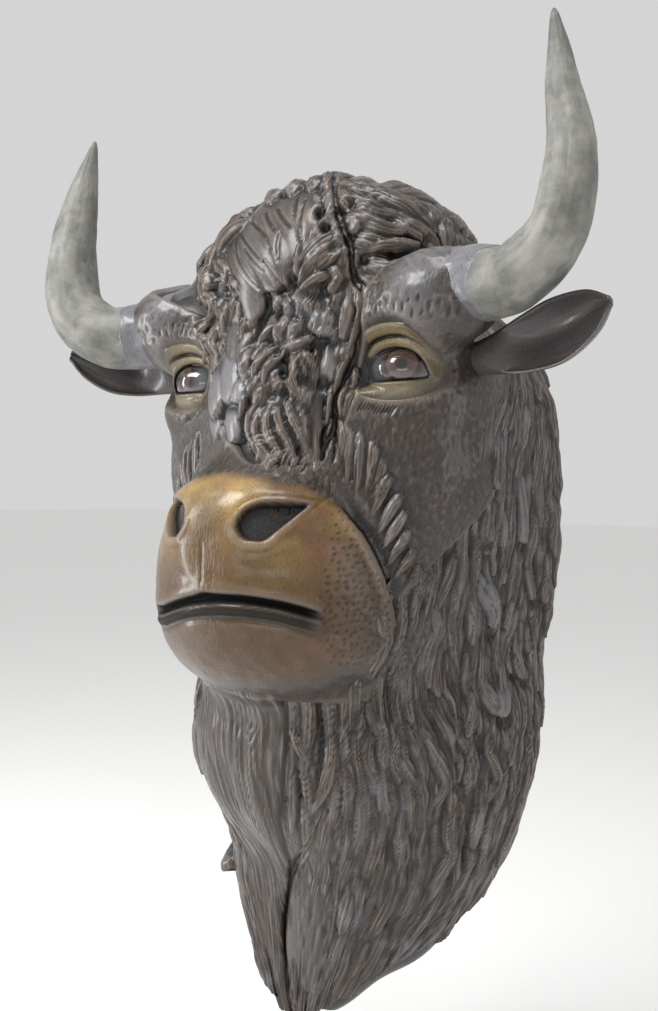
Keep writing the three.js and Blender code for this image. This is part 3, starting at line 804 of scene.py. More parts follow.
# Millimetres of skin in a degree, at the muzzle
MUZZLE_DEGREE = 4.7
NOSTRIL_CORNERS = ((6.3, -33), (7.6, -16), (11.0, -7.5), (22.4, -8.5), (13.2, -48), (8.6, -46.5))
# Degrees between two whisker pits in a row
PIT_SPACING = 1.75
# The almond of the eye and the ring of lid round it, in mm
LID_MIDDLE = 135
LID_LEVEL = 119
LID_HALF_WIDTH = 33.5
LID_SPREAD = 13
LID_TOP = 58
LID_BOTTOM = 28


def forelock_edges(height):
    """Where the forelock ends on the face's far and near side, in degrees, at a height."""
    far = np.interp(height, (18, 50, 60, 90, 120, 160, 200, 240, 262),
                    (8, -6, -12, -20, -27, -31, -36, -60, -92))
    near = np.interp(height, (18, 60, 100, 150, 205, 226, 242, 254, 262),
                     (25, 28, 31.5, 33.5, 35, 42, 60, 76, 92))
    return far, near


def mirror_guide(guide, side):
    return [(side * degrees, height) for degrees, height in guide]


class HEAD_OT_face(bpy.types.Operator):
    """Sculpts the bare face: sockets, brows, nostrils, mouth, whisker pits, fur and side tufts"""

    bl_idname = "head.face"
    bl_label = "Face"

    def execute(self, context):
        settings = context.scene.buffalo_coat
        step = settings.face_grain / MM * 1
        sheet = Sheet(face_ray, int(640 / step), int(560 / step))
        points = sheet.points
        around, level = polar(points), points[:, 2]
        away = np.abs(around)
        tint = np.zeros((len(points), 3))
        # The skin swells up round the horns, and is silver grey there
        for side in (-1, 1):
            gap = ((points - (side * 168, -266, 197)) / (40, 44, 50))
            near = np.exp(-(gap ** 2).sum(1))
            sheet.height += 13 * near
            sheet.cool = np.maximum(sheet.cool, 0.85 * smooth_step(0.15, 0.75, near))
        # Broad forms: brows, cheekbones, the muzzle's wings and the skin in front of the ears
        for side in (-1, 1):
            sheet.swell((side * 118, -292, 172), (46, 30, 12), 5)
            sheet.swell((side * 96, -300, 88), (30, 30, 14), 3)
            sheet.swell((side * 66, -372, -6), (34, 26, 12), 4)
            sheet.swell((side * 28, -404, -60), (16, 20, 20), 2.5)
            sheet.swell((side * 176, -200, -10), (30, 80, 70), 5)
            sheet.swell((side * 178, -250, 98), (28, 42, 32), 7 if side > 0 else 13)
            edge = skin_paths([mirror_guide(MUZZLE_EDGE, side)], spine_ray)[0]
            self.step_down(sheet, edge, side)
        # The closed mouth: the upper lip overhangs a dark cleft, and the lower lip is rolled and dark
        mouth_at = np.interp(around, MOUTH_DEGREES, MOUTH_HEIGHTS)
        drop = level - mouth_at
        fade = 1 - smooth_step(21, 27, away)
        cleft = 1.2 * np.exp(-(around / 2.5) ** 2)
        lower = 1 - smooth_step(5.5, 8.5, drop - cleft * 2)
        sheet.height -= MOUTH_DEPTH * fade * smooth_step(-0.5, 1.5, drop) * lower
        sheet.height += 2.2 * fade * np.exp(-((drop - 15) / 7) ** 2)
        sheet.height += 3.0 * fade * np.exp(-((drop + 6) / 5) ** 2)
        sheet.height -= 1.4 * fade * np.exp(-((drop + 15) / 3) ** 2)
        corner = 1 - smooth_step(22, 29, away)
        # The lips are painted black, and the cleft between them partly as painted shade
        lips = corner * smooth_step(-15.5, -11, drop) * (1 - smooth_step(7, 12, drop - cleft * 2))
        # A thin line on the lower lip's upper edge, and its roll, are left lighter: a painted highlight
        lips *= 1 - 0.4 * np.exp(-((drop + 2.2) / 1.2) ** 2) - 0.1 * np.exp(-((drop + 8) / 4) ** 2)
        tint[:, 2] = np.maximum(tint[:, 2], lips * 0.97)
        # The faint seam down the front of the muzzle
        seam = (np.exp(-((points[:, 0] + 3) / 1.6) ** 2) * smooth_step(-96, -84, level)
                * (1 - smooth_step(-56, -44, level)))
        sheet.height -= 1.1 * seam
        for side in (-1, 1):
            self.nostril(sheet, side, tint, around)
        pits = np.random.default_rng(12)
        # Short fur on the cheeks
        arc = np.radians(around) * NECK_RADIUS
        muzzle = self.muzzle_mask(around, level)
        bare = (1 - smooth_step(0.1, 0.5, muzzle)) * smooth_step(-150, -110, level)
        dashes = grain(arc / 2.9, level / 5.2, 3) + 0.5 * grain(arc / 1.9, level / 3.1, 4)
        sheet.height += bare * (0.45 * smooth_step(0.25, 0.8, dashes) - 0.6 * smooth_step(0.3, 0.85, -dashes))
        sheet.height += 0.9 * grain(arc / 26, level / 30, 5) + 0.35 * grain(arc / 9, level / 8, 8)
        # Whisker pits in staggered rows where the muzzle meets the cheeks, each darkened with painted shade
        for side in (-1, 1):
            spots = []
            for row in range(23):
                height = -18 - 6.6 * row
                start = 25.5 + abs(row - 11) * 0.25
                end = np.interp(height, (-176, -140, -100, -18), (37, 42, 41, 29))
                for k in range(int((end - start) / PIT_SPACING) + 1):
                    degrees = start + PIT_SPACING * (k + 0.5 * (row % 2)) + pits.uniform(-0.7, 0.7)
                    spots.append((side * degrees, height + pits.uniform(-2, 2)))
            for place in skin_paths([(spot, spot) for spot in spots], spine_ray, samples=2)[:, 0]:
                found = np.flatnonzero(np.all(np.abs(points - place) < 5, axis=1))
                gap = np.linalg.norm(points[found] - place, axis=1)
                sheet.height[found] -= 1.0 * np.exp(-(gap / 1.5) ** 2)
                tint[found, 2] = np.maximum(tint[found, 2], 0.5 * np.exp(-(gap / 1.6) ** 2))
        tint[:, 0] = muzzle
        # Ochre skin under the eyes
        for side in (-1, 1):
            bag = np.hypot((points[:, 0] * side - 136) / 40, (level - 106) / 16)
            under = 0.5 * (1 - smooth_step(0.5, 1.25, bag)) * (points[:, 0] * side > 60)
            tint[:, 1] = np.maximum(tint[:, 1], under)
        rng = np.random.default_rng(11)
        for side in (-1, 1):
            guides = [mirror_guide(guide, side) for guide, _, _ in NOSE_SIDE_TUFTS]
            for path, (_, width, thickness) in zip(skin_paths(guides, spine_ray), NOSE_SIDE_TUFTS):
                sheet.lay_lock(path, width, thickness + 3, "flow", rng.uniform(0, 3), 1.5)
            for k in range(11):
                root = (side * (33.5 + 0.9 * k), 92 - 0.4 * k)
                dash = skin_paths([(root, (root[0] - side * 1.5, root[1] - 9))], spine_ray)[0]
                sheet.press(dash, 3, 2.2)
            for k in range(12):
                root = (side * (36 + 1.5 * k), 190 - 0.6 * k + 4 * (k % 2))
                dash = skin_paths([(root, (root[0] + side * 0.6, root[1] - 15))], spine_ray)[0]
                sheet.press(dash, 3.4, 1.8)
            self.sink_eye(sheet, side)
        # The borders dive under the neighbouring hair
        far_edge, near_edge = forelock_edges(level)
        covered = (smooth_step(0, 3, near_edge - around) * smooth_step(0, 3, around - far_edge)
                   * smooth_step(26, 40, level))
        sheet.height -= FORELOCK_BED * covered
        limit = face_limit(level)
        rim = smooth_step(limit - 5, limit - 0.5, away)
        rim = np.maximum(rim, 1 - smooth_step(-222, -208, level))
        rim = np.maximum(rim, smooth_step(256, 267, level))
        sheet.height -= 9 * rim
        relief, hollow = sheet.relief()
        attributes = {"cool": sheet.cool, "relief": relief, "hollow": hollow * 0.6, "hair": sheet.hair,
                      "comb": sheet.comb, "tint": tint}
        piece = grid_piece("face_skin", shape_sheet(sheet), attributes)
        finish_piece(piece, "coat_paint", painted_coat(settings), "head")
        return {"FINISHED"}

    @staticmethod
    def muzzle_mask(around, level):
        """1 on the tan muzzle, fading out over its top and its sides."""
        away = np.abs(around)
        top = np.interp(away, (0, 6, 11, 19, 26, 33, 40, 44), (17, 14, 11, 3, -10, -36, -82, -118))
        bottom = np.interp(away, (0, 20, 32, 44), (-188, -184, -168, -130))
        wide = smooth_step(top + 7, top - 5, level) * smooth_step(bottom - 14, bottom + 12, level)
        return wide * (1 - smooth_step(25, 43, away) * 0.75)

    @staticmethod
    def step_down(sheet, edge, side):
        """The muzzle's bulge ends in a step: its own side swells a little, the cheek's side drops."""
        found, along, gap, _ = sheet.near(edge, 26)
        outward = gap * side
        ends = smooth_step(0, 0.12, along) * (1 - smooth_step(0.88, 1, along))
        drop = smooth_step(-1, 5, outward) * (1 - smooth_step(9, 24, outward))
        swell = np.exp(-((outward + 9) / 7) ** 2)
        sheet.height[found] += ends * (3 * swell - 6 * drop)

    @staticmethod
    def nostril(sheet, side, tint, around):
        """Hollows a comma-shaped nostril: deep under its upper edge, with a fold along its lower one. Its inside is
        painted black, partly as painted shade.
        """
        level = sheet.points[:, 2]
        across = around * side * MUZZLE_DEGREE
        inside = np.full(len(level), -99.0)
        corners = np.array(NOSTRIL_CORNERS) * (MUZZLE_DEGREE, 1)
        for a, b in zip(corners, np.roll(corners, -1, axis=0)):
            run = (b - a) / np.linalg.norm(b - a)
            gap = (across - a[0]) * run[1] - (level - a[1]) * run[0]
            inside = -soft_min(-inside, gap, 5)
        open_part = 1 - smooth_step(-5, -0.5, inside)
        fold = np.exp(-((inside + 5.5) / 3) ** 2) * smooth_step(55, 75, across) * (level < -12)
        sheet.height -= open_part * (NOSTRIL_DEPTH - 14 * fold)
        rim = np.exp(-((inside - 4) / 3.5) ** 2) * smooth_step(20, -30, level + 30)
        sheet.height += 2.2 * rim
        sheet.height -= 1.2 * np.exp(-((inside - 3) / 3) ** 2) * smooth_step(-30, -12, level)
        # Black inside the nostril, partly painted shade, a little less over the fold
        dark = 1 - smooth_step(-2.5, 0.5, inside)
        tint[:, 2] = np.maximum(tint[:, 2], dark * (1 - 0.15 * fold))

    @staticmethod
    def sink_eye(sheet, side):
        """Sinks the skin inside the lids, to make room for the eye."""
        points = sheet.points
        across = (points[:, 0] * side - LID_MIDDLE) / (LID_HALF_WIDTH + LID_SPREAD)
        up = points[:, 2] - LID_LEVEL
        d = np.hypot(across, up / np.where(up > 0, LID_TOP, LID_BOTTOM))
        d = d * np.where(points[:, 0] * side > 60, 1, 99)
        sheet.height *= smooth_step(0.8, 1.15, d)
        sheet.height -= SOCKET_DEPTH * (1 - smooth_step(0.6, 0.9, d))


# Hair

def lay_hair(sheet, ray, plan, seed, depth=1.1):
    """Lays a plan of locks: each has a guide from root to tip, a width, a thickness, a kind and, for
    blue grey ones, how cool its paint is; on some locks the blue grey is a painted sheen."""
    rng = np.random.default_rng(seed)
    paths = skin_paths([lock[0] for lock in plan], ray)
    for path, (_, width, thickness, kind, *cool) in zip(paths, plan):
        if kind == "blunt":
            sheet.pocket(path, width)
        sheet.lay_lock(path, width, thickness, kind, rng.uniform(0, 6), depth, *cool)
    sheet.height = np.maximum(sheet.height, HAIR_FLOOR - 1)


def hair_piece(name, sheet, shaped, keep_above=-99):
    """Makes the sheet's mesh, without the stretches that lie well under the neighbouring skin."""
    relief, hollow = sheet.relief()
    height = sheet.grid(sheet.height)
    keep = blur((height > keep_above).astype(float), 2) > 0.02
    attributes = {"relief": relief, "hollow": hollow, "hair": sheet.hair, "comb": sheet.comb,
                  "cool": sheet.cool, "tint": np.zeros((len(sheet.points), 3))}
    return grid_piece(name, shaped, attributes, keep)


def shape_sheet(sheet):
    """The sheet's points with their relief, held off the wall."""
    shaped = sheet.points + sheet.normals * (sheet.height + bulk(sheet.points))[:, None]
    shaped[:, 1] = np.minimum(shaped[:, 1], -0.4)
    return sheet.grid(shaped)


def turn_hem(shaped):
    """Turns the lowest rows in toward the core, so that the lower end shows no open edge."""
    spine = np.interp(shaped[:, :, 2], SPINE_HEIGHTS, SPINE_DEPTHS)
    inward = np.stack([-shaped[:, :, 0], spine - shaped[:, :, 1], np.zeros_like(spine)], -1)
    inward /= np.linalg.norm(inward, axis=2, keepdims=True)
    shaped[0] += inward[0] * 36 + (0, 0, 9)
    shaped[1] += inward[1] * 14 + (0, 0, 3)
    return inward


# The forelock's locks that show in the photograph: guide, width, thickness, kind and coolness
FORELOCK_LOCKS = (
    # Smooth combing over the crown, left of the winding part
    (((-18, 314), (-8, 294), (6, 251), (9, 214)), 44, 6.5, "smooth"),
    (((-26, 292), (-15, 273), (-2, 242), (6, 212)), 44, 6.5, "smooth", 0.2),
    (((-10, 318), (7, 288), (13, 258), (12, 236)), 40, 7, "smooth"),
    (((-34, 290), (-21, 260), (-8, 226), (-2, 203)), 40, 6.5, "smooth"),
    (((4, 326), (13, 291), (14, 258), (13, 240)), 36, 7, "smooth"),
    (((19, 330), (18, 297), (16, 273), (15, 254)), 34, 7, "smooth"),
    (((-20, 250), (-13, 225), (-7, 205), (-4, 181)), 38, 7, "smooth", 0.25),
    (((-17, 212), (-15, 186), (-13, 160), (-12, 140)), 34, 7, "smooth", 0.1),
    (((-8, 196), (-9, 174), (-8, 150), (-7, 136)), 26, 7, "smooth", 0.15),
    # Tufts along the top edge
    (((-16, 338), (-14, 326), (-10, 314)), 26, 8, "flow"), (((0, 346), (1, 334), (3, 320)), 26, 9, "flow"),
    (((16, 350), (17, 338), (16, 322)), 30, 9, "flow"), (((30, 352), (29, 338), (26, 322)), 28, 10, "flow"),
    # Curls down the far edge
    (((-20, 306), (-30, 284), (-32, 262), (-36, 244)), 26, 10, "flow"),
    (((-24, 268), (-28, 255), (-21, 238), (-25, 220)), 20, 9, "flow"),
    (((-30, 262), (-35, 246), (-33, 232), (-38, 216)), 22, 10, "flow"),
    (((-14, 240), (-16, 228), (-14, 214), (-18, 200)), 16, 9, "flow"),
    (((-30, 236), (-34, 222), (-28, 208), (-30, 190)), 22, 10, "flow"),
    (((-23, 216), (-24, 200), (-20, 184), (-24, 170)), 20, 9, "flow"),
    (((-30, 196), (-34, 178), (-31, 160), (-35, 144)), 22, 10, "flow"),
    (((-22, 190), (-27, 168), (-25, 148), (-29, 128)), 24, 10, "flow"),
    # Combed tufts down the middle, left of the part
    (((31, 330), (30, 308), (26, 290), (21, 272)), 24, 9, "flow"),
    (((29, 274), (22, 260), (16, 243), (14, 226)), 20, 10, "flow"),
    (((31, 268), (24, 247), (17, 230), (13, 213)), 28, 12, "flow"),
    (((31, 256), (25, 240), (20, 226), (18, 214)), 18, 11, "flow"),
    (((17, 272), (14, 249), (13, 228), (9, 208)), 10, 10, "flow"),
    (((21, 262), (17, 246), (13, 232), (11, 222)), 9, 10, "flow"),
    (((26, 224), (20, 218), (16, 211), (13, 204)), 16, 11, "flow"),
    (((18, 227), (24, 228), (27, 217), (24, 202)), 17, 10, "blunt"),
    (((3, 212), (4, 201), (6, 188)), 14, 12, "blunt"),
    (((9, 210), (14, 201), (17, 189), (16, 172)), 22, 9, "flow"),
    (((29, 226), (30, 205), (29, 181), (27, 155)), 20, 7, "smooth"),
    (((33, 222), (33, 197), (33, 177), (27, 135)), 9, 11, "flow"),
    (((6, 192), (4, 176), (1, 163), (-3, 152)), 17, 12, "blunt"),
    (((3, 172), (1, 154), (-1, 135)), 15, 11, "blunt"),
    (((15, 202), (14, 184), (12, 168), (11, 154)), 19, 11, "blunt"),
    (((23, 204), (22, 184), (20, 159)), 36, 10.5, "blunt", 0.45),
    (((9, 190), (8, 174), (6, 158)), 16, 9, "flow"),
    (((-2, 158), (-5, 142), (-4, 124), (-1, 108)), 20, 10, "flow"),
    # The bow of twisted tufts below the fold across the forehead
    (((5, 158), (9, 152), (14, 152), (18, 158)), 15, 12, "smooth"),
    (((10, 151), (6, 136), (4, 122), (4, 108)), 15, 12, "flow"),
    (((8, 153), (3, 142), (0, 128), (0, 110)), 14, 11, "flow"),
    (((11, 149), (13, 132), (12, 116), (15, 95)), 20, 13, "flow"),
    (((14, 151), (17, 135), (20, 121)), 11, 12, "flow"),
    (((13, 149), (15, 133), (17, 116)), 10, 13, "flow"), (((7, 130), (9, 116), (8, 103)), 14, 11, "blunt"),
    (((25, 158), (24, 140), (23, 124), (22, 112)), 20, 7, "smooth", 0.4),
    # The fan over the bridge of the nose, with the bare band and the ridge beside it
    (((20, 122), (20, 96), (20, 62), (21, 20)), 18, 6, "smooth"),
    (((4, 104), (1, 81), (1, 60), (6, 34)), 17, 10, "flow"),
    (((6, 101), (3, 77), (4, 53), (12, 20)), 17, 11, "flow"),
    (((7, 100), (6, 77), (8, 53), (14, 22)), 17, 12, "flow"),
    (((9, 101), (9, 77), (12, 53), (16, 22)), 17, 12, "flow"),
    (((11, 103), (13, 80), (16, 57), (19, 24)), 16, 12, "flow"),
    (((13, 100), (16, 77), (17, 60), (19, 38)), 13, 11, "flow"),
    (((24, 108), (24, 84), (23, 55)), 9, 11, "flow"), (((25, 54), (24, 35), (24, 15)), 10, 11, "flow"),
    (((29, 142), (27, 125), (26, 111), (25, 92)), 11, 11, "flow"),
    (((29, 114), (27, 97), (27, 78)), 12, 10, "flow"),
    (((31, 108), (29, 91), (28, 75)), 12, 10, "flow"), (((31, 130), (31, 118), (30, 104)), 8, 9, "flow"),
    (((27, 76), (28, 56), (27, 32)), 13, 10, "flow"),
    # Broad locks that end over the bridge, smooth and cool grey, partly worn paint and partly a painted sheen
    (((-13, 184), (-15, 152), (-12, 124), (-8, 94)), 38, 9, "smooth", 0.8),
    (((-4, 140), (-6, 118), (-5, 92)), 26, 8, "smooth", 0.9),
    (((-22, 160), (-24, 134), (-21, 108), (-16, 80)), 34, 9, "smooth", 0.75),
    (((-26, 120), (-24, 98), (-19, 76), (-14, 56)), 24, 6.5, "smooth", 0.7),
    (((-10, 100), (-8, 76), (-5, 52)), 26, 6, "smooth", 0.8),
    # Swirls and lumps right of the part
    (((34, 326), (37, 304), (45, 290), (54, 286)), 34, 11, "flow"),
    (((33, 298), (38, 280), (46, 270), (55, 270)), 28, 11, "flow"),
    (((46, 332), (54, 312), (62, 296), (68, 276)), 34, 9, "flow"),
    (((58, 326), (68, 304), (76, 284), (80, 262)), 34, 8, "flow"),
    (((36, 342), (44, 326), (56, 312), (70, 300)), 34, 9, "flow"),
    (((33, 268), (37, 256), (44, 252), (50, 258)), 24, 12, "flow"),
    (((33, 244), (38, 248), (47, 252), (57, 256)), 18, 13, "flow"),
    (((33, 256), (36, 240), (41, 229), (48, 228)), 22, 10, "blunt", 0.3),
    (((34, 226), (38, 213), (45, 208), (53, 212)), 18, 8, "flow"),
    (((50, 296), (56, 278), (62, 266), (64, 246)), 26, 9, "flow"),
    (((53, 250), (56, 242), (58, 231)), 22, 12, "blunt", 0.6),
    (((34, 288), (36, 276), (34, 264)), 16, 12, "blunt"),
)
WINDING_PART = ((32, 352), (31, 320), (30, 290), (32, 250), (32, 225), (34, 200), (34, 176), (32, 150),
                (28, 118),
                (25.5, 97), (24.5, 77), (22, 54), (22.5, 18))
# Strokes of the modelling tool over the smooth crown. The first are drawn on an enlarged crop of the
# photograph, whose left edge, top edge and enlargement are given, and the others are placed on the clay.
CROWN_CROP = (200, 170, 7)
CROWN_DRAWN = (
    ((230, 480), (245, 600), (320, 730), (420, 830)),
    ((270, 440), (350, 560), (410, 620)),
    ((340, 330), (440, 440), (500, 560)),
    ((450, 270), (480, 370), (520, 420)),
    ((530, 240), (580, 340), (640, 410)),
    ((740, 180), (710, 300), (700, 440), (710, 520)),
    ((560, 440), (545, 540), (560, 640)),
    ((440, 640), (520, 740), (590, 830)),
)
CROWN_STROKES = tuple(photo_guide(CROWN_CROP, stroke) for stroke in CROWN_DRAWN) + (
    ((-13, 262), (-6, 244), (0, 230)),
    ((-24, 262), (-18, 240), (-12, 222)),
    ((22, 330), (23, 312), (24, 298)),
    ((8, 318), (10, 300), (11, 286)),
    ((-16, 222), (-12, 206), (-9, 190)),
    ((-11, 205), (-10, 186), (-10, 168)),
    ((-26, 240), (-21, 222), (-17, 206)),
)
# The deep holes between the tufts: degrees, height, radius and depth
FORELOCK_HOLES = ((23, 290, 6, 10), (24.5, 272, 5, 9), (11, 218, 6, 9), (2, 194, 6, 10), (-1, 174, 6, 10),
                  (10, 121, 6, 10),
                  (-2, 160, 6, 9), (22, 114, 6, 9), (16.5, 150, 4, 6), (36, 236, 5, 8), (45, 240, 5, 8),
                  (37, 296, 5, 8),
                  (31, 288, 5, 8), (12.5, 178, 4, 7), (7, 142, 4, 7), (60, 262, 5, 7), (26, 248, 5, 6))


def forelock_ray(u, w):
    return crown_ray(2 * u - 1, 226 + (24 - 226) * w)


class HEAD_OT_forelock(bpy.types.Operator):
    """Sculpts the mop of hair from the wall over the crown and down the forehead"""

    bl_idname = "head.forelock"
    bl_label = "Forelock"

    def execute(self, context):
        settings = context.scene.buffalo_coat
        step = settings.hair_grain / MM * 1
        sheet = Sheet(forelock_ray, int(440 / step), int(640 / step))
        sheet.height[:] = HAIR_FLOOR
        rng = np.random.default_rng(5)
        back, fill = [], []
        # Hair combed back over the nape, in rows whose tips reach the wall
        for row in range(7):
            for k in range(17):
                across = -1.02 + 2.04 * (k + 0.5 * (row % 2)) / 16.5 + rng.uniform(-0.03, 0.03)
                root = 124 - 15 * row + rng.uniform(-5, 5)
                sway, reach = rng.uniform(-0.07, 0.07), rng.uniform(30, 52)
                guide = ((across * 0.9, root), (across + sway, root - reach * 0.5),
                         (across * 1.04 + sway, root - reach))
                back.append((guide, rng.uniform(20, 38), rng.uniform(7, 10.5), "flow"))
        # Hair that falls behind the horns on both sides
        for side in (-1, 1):
            for row in range(2):
                for k in range(5):
                    across = side * (0.52 + 0.11 * k + rng.uniform(-0.03, 0.03))
                    root = 92 + 20 * row + rng.uniform(-4, 4)
                    back.append((((across, root), (across + side * 0.07, root + 14),
                                  (across + side * rng.uniform(0.1, 0.2), root + 26)),
                                 rng.uniform(24, 34), rng.uniform(7, 10), "flow"))
        # Low filling tufts under the locks that show
        for row in range(11):
            for k in range(11):
                degrees = -42 + 8 * k + rng.uniform(-3, 3) + 4 * (row % 2)
                level = 326 - 23 * row + rng.uniform(-6, 6)
                far, near = forelock_edges(level - 44)
                smooth_crown = -30 < degrees < 14 and level > 225
                if far + 5 < degrees < near - 4 and level > 80 and not smooth_crown:
                    fill.append((((degrees, level), (degrees + rng.uniform(-3, 3), level - 20),
                                  (degrees + rng.uniform(-5, 3), level - 44)),
                                 rng.uniform(18, 30), rng.uniform(5, 7.5), "flow"))
        lay_hair(sheet, crown_ray, back, 1)
        lay_hair(sheet, spine_ray, fill, 2, 1.4)
        lay_hair(sheet, spine_ray, FORELOCK_LOCKS, 3, 1.7)
        for stroke in CROWN_STROKES:
            sheet.press(skin_paths([stroke], spine_ray)[0], 4.4, 2.6)
        holes = np.array(FORELOCK_HOLES)
        origin, direction = spine_ray(holes[:, 0], holes[:, 1])
        for place, (_, _, radius, depth) in zip(origin + direction * cast(origin, direction)[:, None], holes):
            sheet.swell(place, (radius, radius, radius * 1.3), -depth)
        part = skin_paths([WINDING_PART], spine_ray, samples=40)[0]
        sheet.press(part, 9, 8)
        level = sheet.points[:, 2]
        bumpy = 1.6 * smooth_step(0.3, 1, sheet.hair) * grain(sheet.points[:, 0] / 10, level / 10, 9)
        sheet.height += np.where(sheet.height > HAIR_BASE, bumpy, 0)
        sheet.height = np.maximum(sheet.height, HAIR_FLOOR - 1)
        piece = hair_piece("forelock", sheet, shape_sheet(sheet), HAIR_FLOOR + 1.5)
        finish_piece(piece, "coat_paint", painted_coat(settings), "head")
        return {"FINISHED"}


MANE_FRONT_HEIGHTS = (-600, -540, -480, -430, -370, -300, -200, -150, -100, -60, 0, 100, 160, 240, 300)
MANE_FRONT_DEGREES = (9, 9, 10, 13, 26, 30, 36, 41, 45, 56, 71, 74, 84, 95, 100)
MANE_FRONT_FAR_DEGREES = (48, 48, 48, 46, 42, 38, 36, 41, 45, 56, 71, 74, 84, 95, 100)


def mane_front(height, side):
    """Where the mane begins, in degrees round the head, at a height."""
    return np.interp(height, MANE_FRONT_HEIGHTS, MANE_FRONT_DEGREES if side > 0 else MANE_FRONT_FAR_DEGREES)


def back_corner(height):
    """Direction of the edge of the flat back, in degrees, at a height."""
    return np.interp(height, (-560, -500, -400, -300, -100, 0, 100, 200, 260, 300),
                     (112, 118, 122, 124, 121, 120, 119, 120, 124, 128))


def hem_height(degrees, seed):
    """Lower end of the mane round the head: the hem's slope with the scallops of the lock ends."""
    slope = np.interp(degrees, (0, 20, 45, 60, 75, 90, 105, 125),
                      (-586, -584, -576, -560, -540, -512, -488, -452))
    rng = np.random.default_rng(seed)
    drop = np.zeros(np.shape(degrees))
    for middle in np.arange(4, 128, 8.5):
        centre, width, length = middle + rng.uniform(-1.5, 1.5), rng.uniform(6.5, 9), rng.uniform(6, 18)
        drop = np.maximum(drop, length * np.clip(1 - ((degrees - centre) / width) ** 2, 0, 1) ** 0.6)
    return slope + 4 - drop


# Locks of the mane that show in the photograph, drawn on two enlarged crops. A crop is its left edge, its
# top edge and its enlargement. A lock is its stroke in the crop's pixels, width, thickness, kind and coolness.
CHEEK_CROP = (400, 360, 2.6)
# The coolness on some of these locks paints their silver sheen in blue grey
CHEEK_STROKES = (
    (((285, 100), (262, 180), (250, 260), (250, 335)), 22, 12, "blunt"),
    (((330, 90), (325, 170), (310, 230), (300, 300)), 26, 10, "flow", 0.5),
    (((310, 220), (320, 330), (315, 420), (318, 475)), 28, 13, "blunt", 0.5),
    (((262, 330), (262, 400), (258, 480)), 24, 13, "blunt", 0.3),
    (((232, 360), (228, 420), (225, 470)), 21, 12, "blunt"),
    (((290, 500), (265, 540), (262, 580)), 22, 12, "blunt"),
    (((185, 510), (205, 580), (240, 640), (235, 695)), 36, 14, "blunt", 0.5),
    (((350, 480), (335, 560), (345, 620)), 24, 11, "blunt"),
    (((320, 620), (290, 680), (265, 760), (262, 820)), 26, 11, "flow"),
    (((300, 700), (300, 780), (320, 830)), 22, 11, "blunt"),
    (((215, 700), (205, 760), (215, 850), (260, 920)), 30, 12, "blunt", 0.4),
    (((270, 800), (262, 860), (258, 930)), 34, 13, "smooth", 0.4),
    (((40, 560), (45, 640), (30, 720), (35, 800), (20, 900)), 24, 8, "flow"),
    (((90, 530), (80, 620), (95, 700), (70, 800), (75, 900)), 26, 9, "flow", 0.2),
    (((130, 500), (150, 600), (130, 700), (150, 800), (140, 900)), 26, 9, "flow"),
    (((10, 640), (5, 760), (20, 880), (5, 980)), 24, 8, "flow"),
    (((180, 740), (170, 820), (190, 900), (170, 980)), 26, 11, "blunt", 0.3),
    (((340, 640), (330, 720), (345, 800), (335, 900)), 24, 9, "flow"),
)
BEARD_CROP = (180, 660, 2.4)
BEARD_STROKES = (
    (((480, 170), (540, 260), (575, 330), (560, 400)), 26, 9, "flow"),
    (((520, 120), (600, 210), (640, 290), (600, 370), (620, 420)), 26, 10, "flow", 0.3),
    (((560, 60), (660, 170), (700, 270), (660, 350), (690, 420)), 28, 10, "flow"),
    (((430, 250), (440, 330), (430, 420), (400, 520)), 26, 9, "flow", 0.2),
    (((470, 300), (480, 400), (450, 520), (420, 620)), 26, 10, "flow"),
    (((360, 120), (365, 220), (350, 300), (300, 390)), 20, 8, "flow"),
    (((300, 130), (275, 180), (300, 240), (330, 290)), 20, 8, "flow"),
    (((640, 380), (650, 470), (600, 560), (560, 640)), 26, 10, "flow", 0.2),
    (((700, 400), (700, 480), (660, 560), (600, 620)), 26, 10, "flow"),
    (((520, 420), (520, 520), (480, 620), (430, 720)), 28, 10, "flow"),
    (((580, 400), (580, 500), (540, 600), (490, 700)), 26, 9, "flow", 0.2),
    (((400, 330), (400, 430), (380, 520), (370, 600)), 22, 9, "flow"),
    (((770, 120), (740, 200), (760, 290), (720, 360), (740, 430)), 26, 10, "flow"),
    (((820, 100), (800, 220), (800, 320), (770, 400)), 26, 9, "flow"),
    (((340, 380), (310, 450), (270, 530)), 20, 8, "flow"),
)
# Locks at the jaw, placed on the clay
JAW_LOCKS = (
    (((66, -46), (63, -78), (60, -106), (58, -138)), 24, 9, "flow"),
    (((59, -58), (57, -88), (55, -120), (53, -152)), 20, 9, "flow"),
    (((53, -76), (51, -110), (50, -140), (48, -168)), 20, 8, "flow"),
    (((48, -92), (46.5, -124), (45, -158), (43, -192)), 20, 8, "flow"),
)
MANE_LOCKS = photo_locks(CHEEK_CROP, CHEEK_STROKES) + photo_locks(BEARD_CROP, BEARD_STROKES) + JAW_LOCKS
# The broad grey leaf beside the crease, which lies on the beard and on the mane
LEAF = ((((24, -350), (18, -405), (17, -470), (19, -556)), 62, 9, "smooth", 0.25),)


def combing(degrees, level):
    """Which way the mane is combed at a place, in degrees per mm of descent, after the locks near it."""
    total, weight = 0.0, 0.25
    for guide, *_ in MANE_LOCKS:
        for (a, high), (b, low) in zip(guide[:-1], guide[1:]):
            near = math.exp(-((degrees - (a + b) / 2) / 11) ** 2 - ((level - (high + low) / 2) / 45) ** 2)
            total += near * (b - a) / (high - low)
            weight += near
    return total / weight


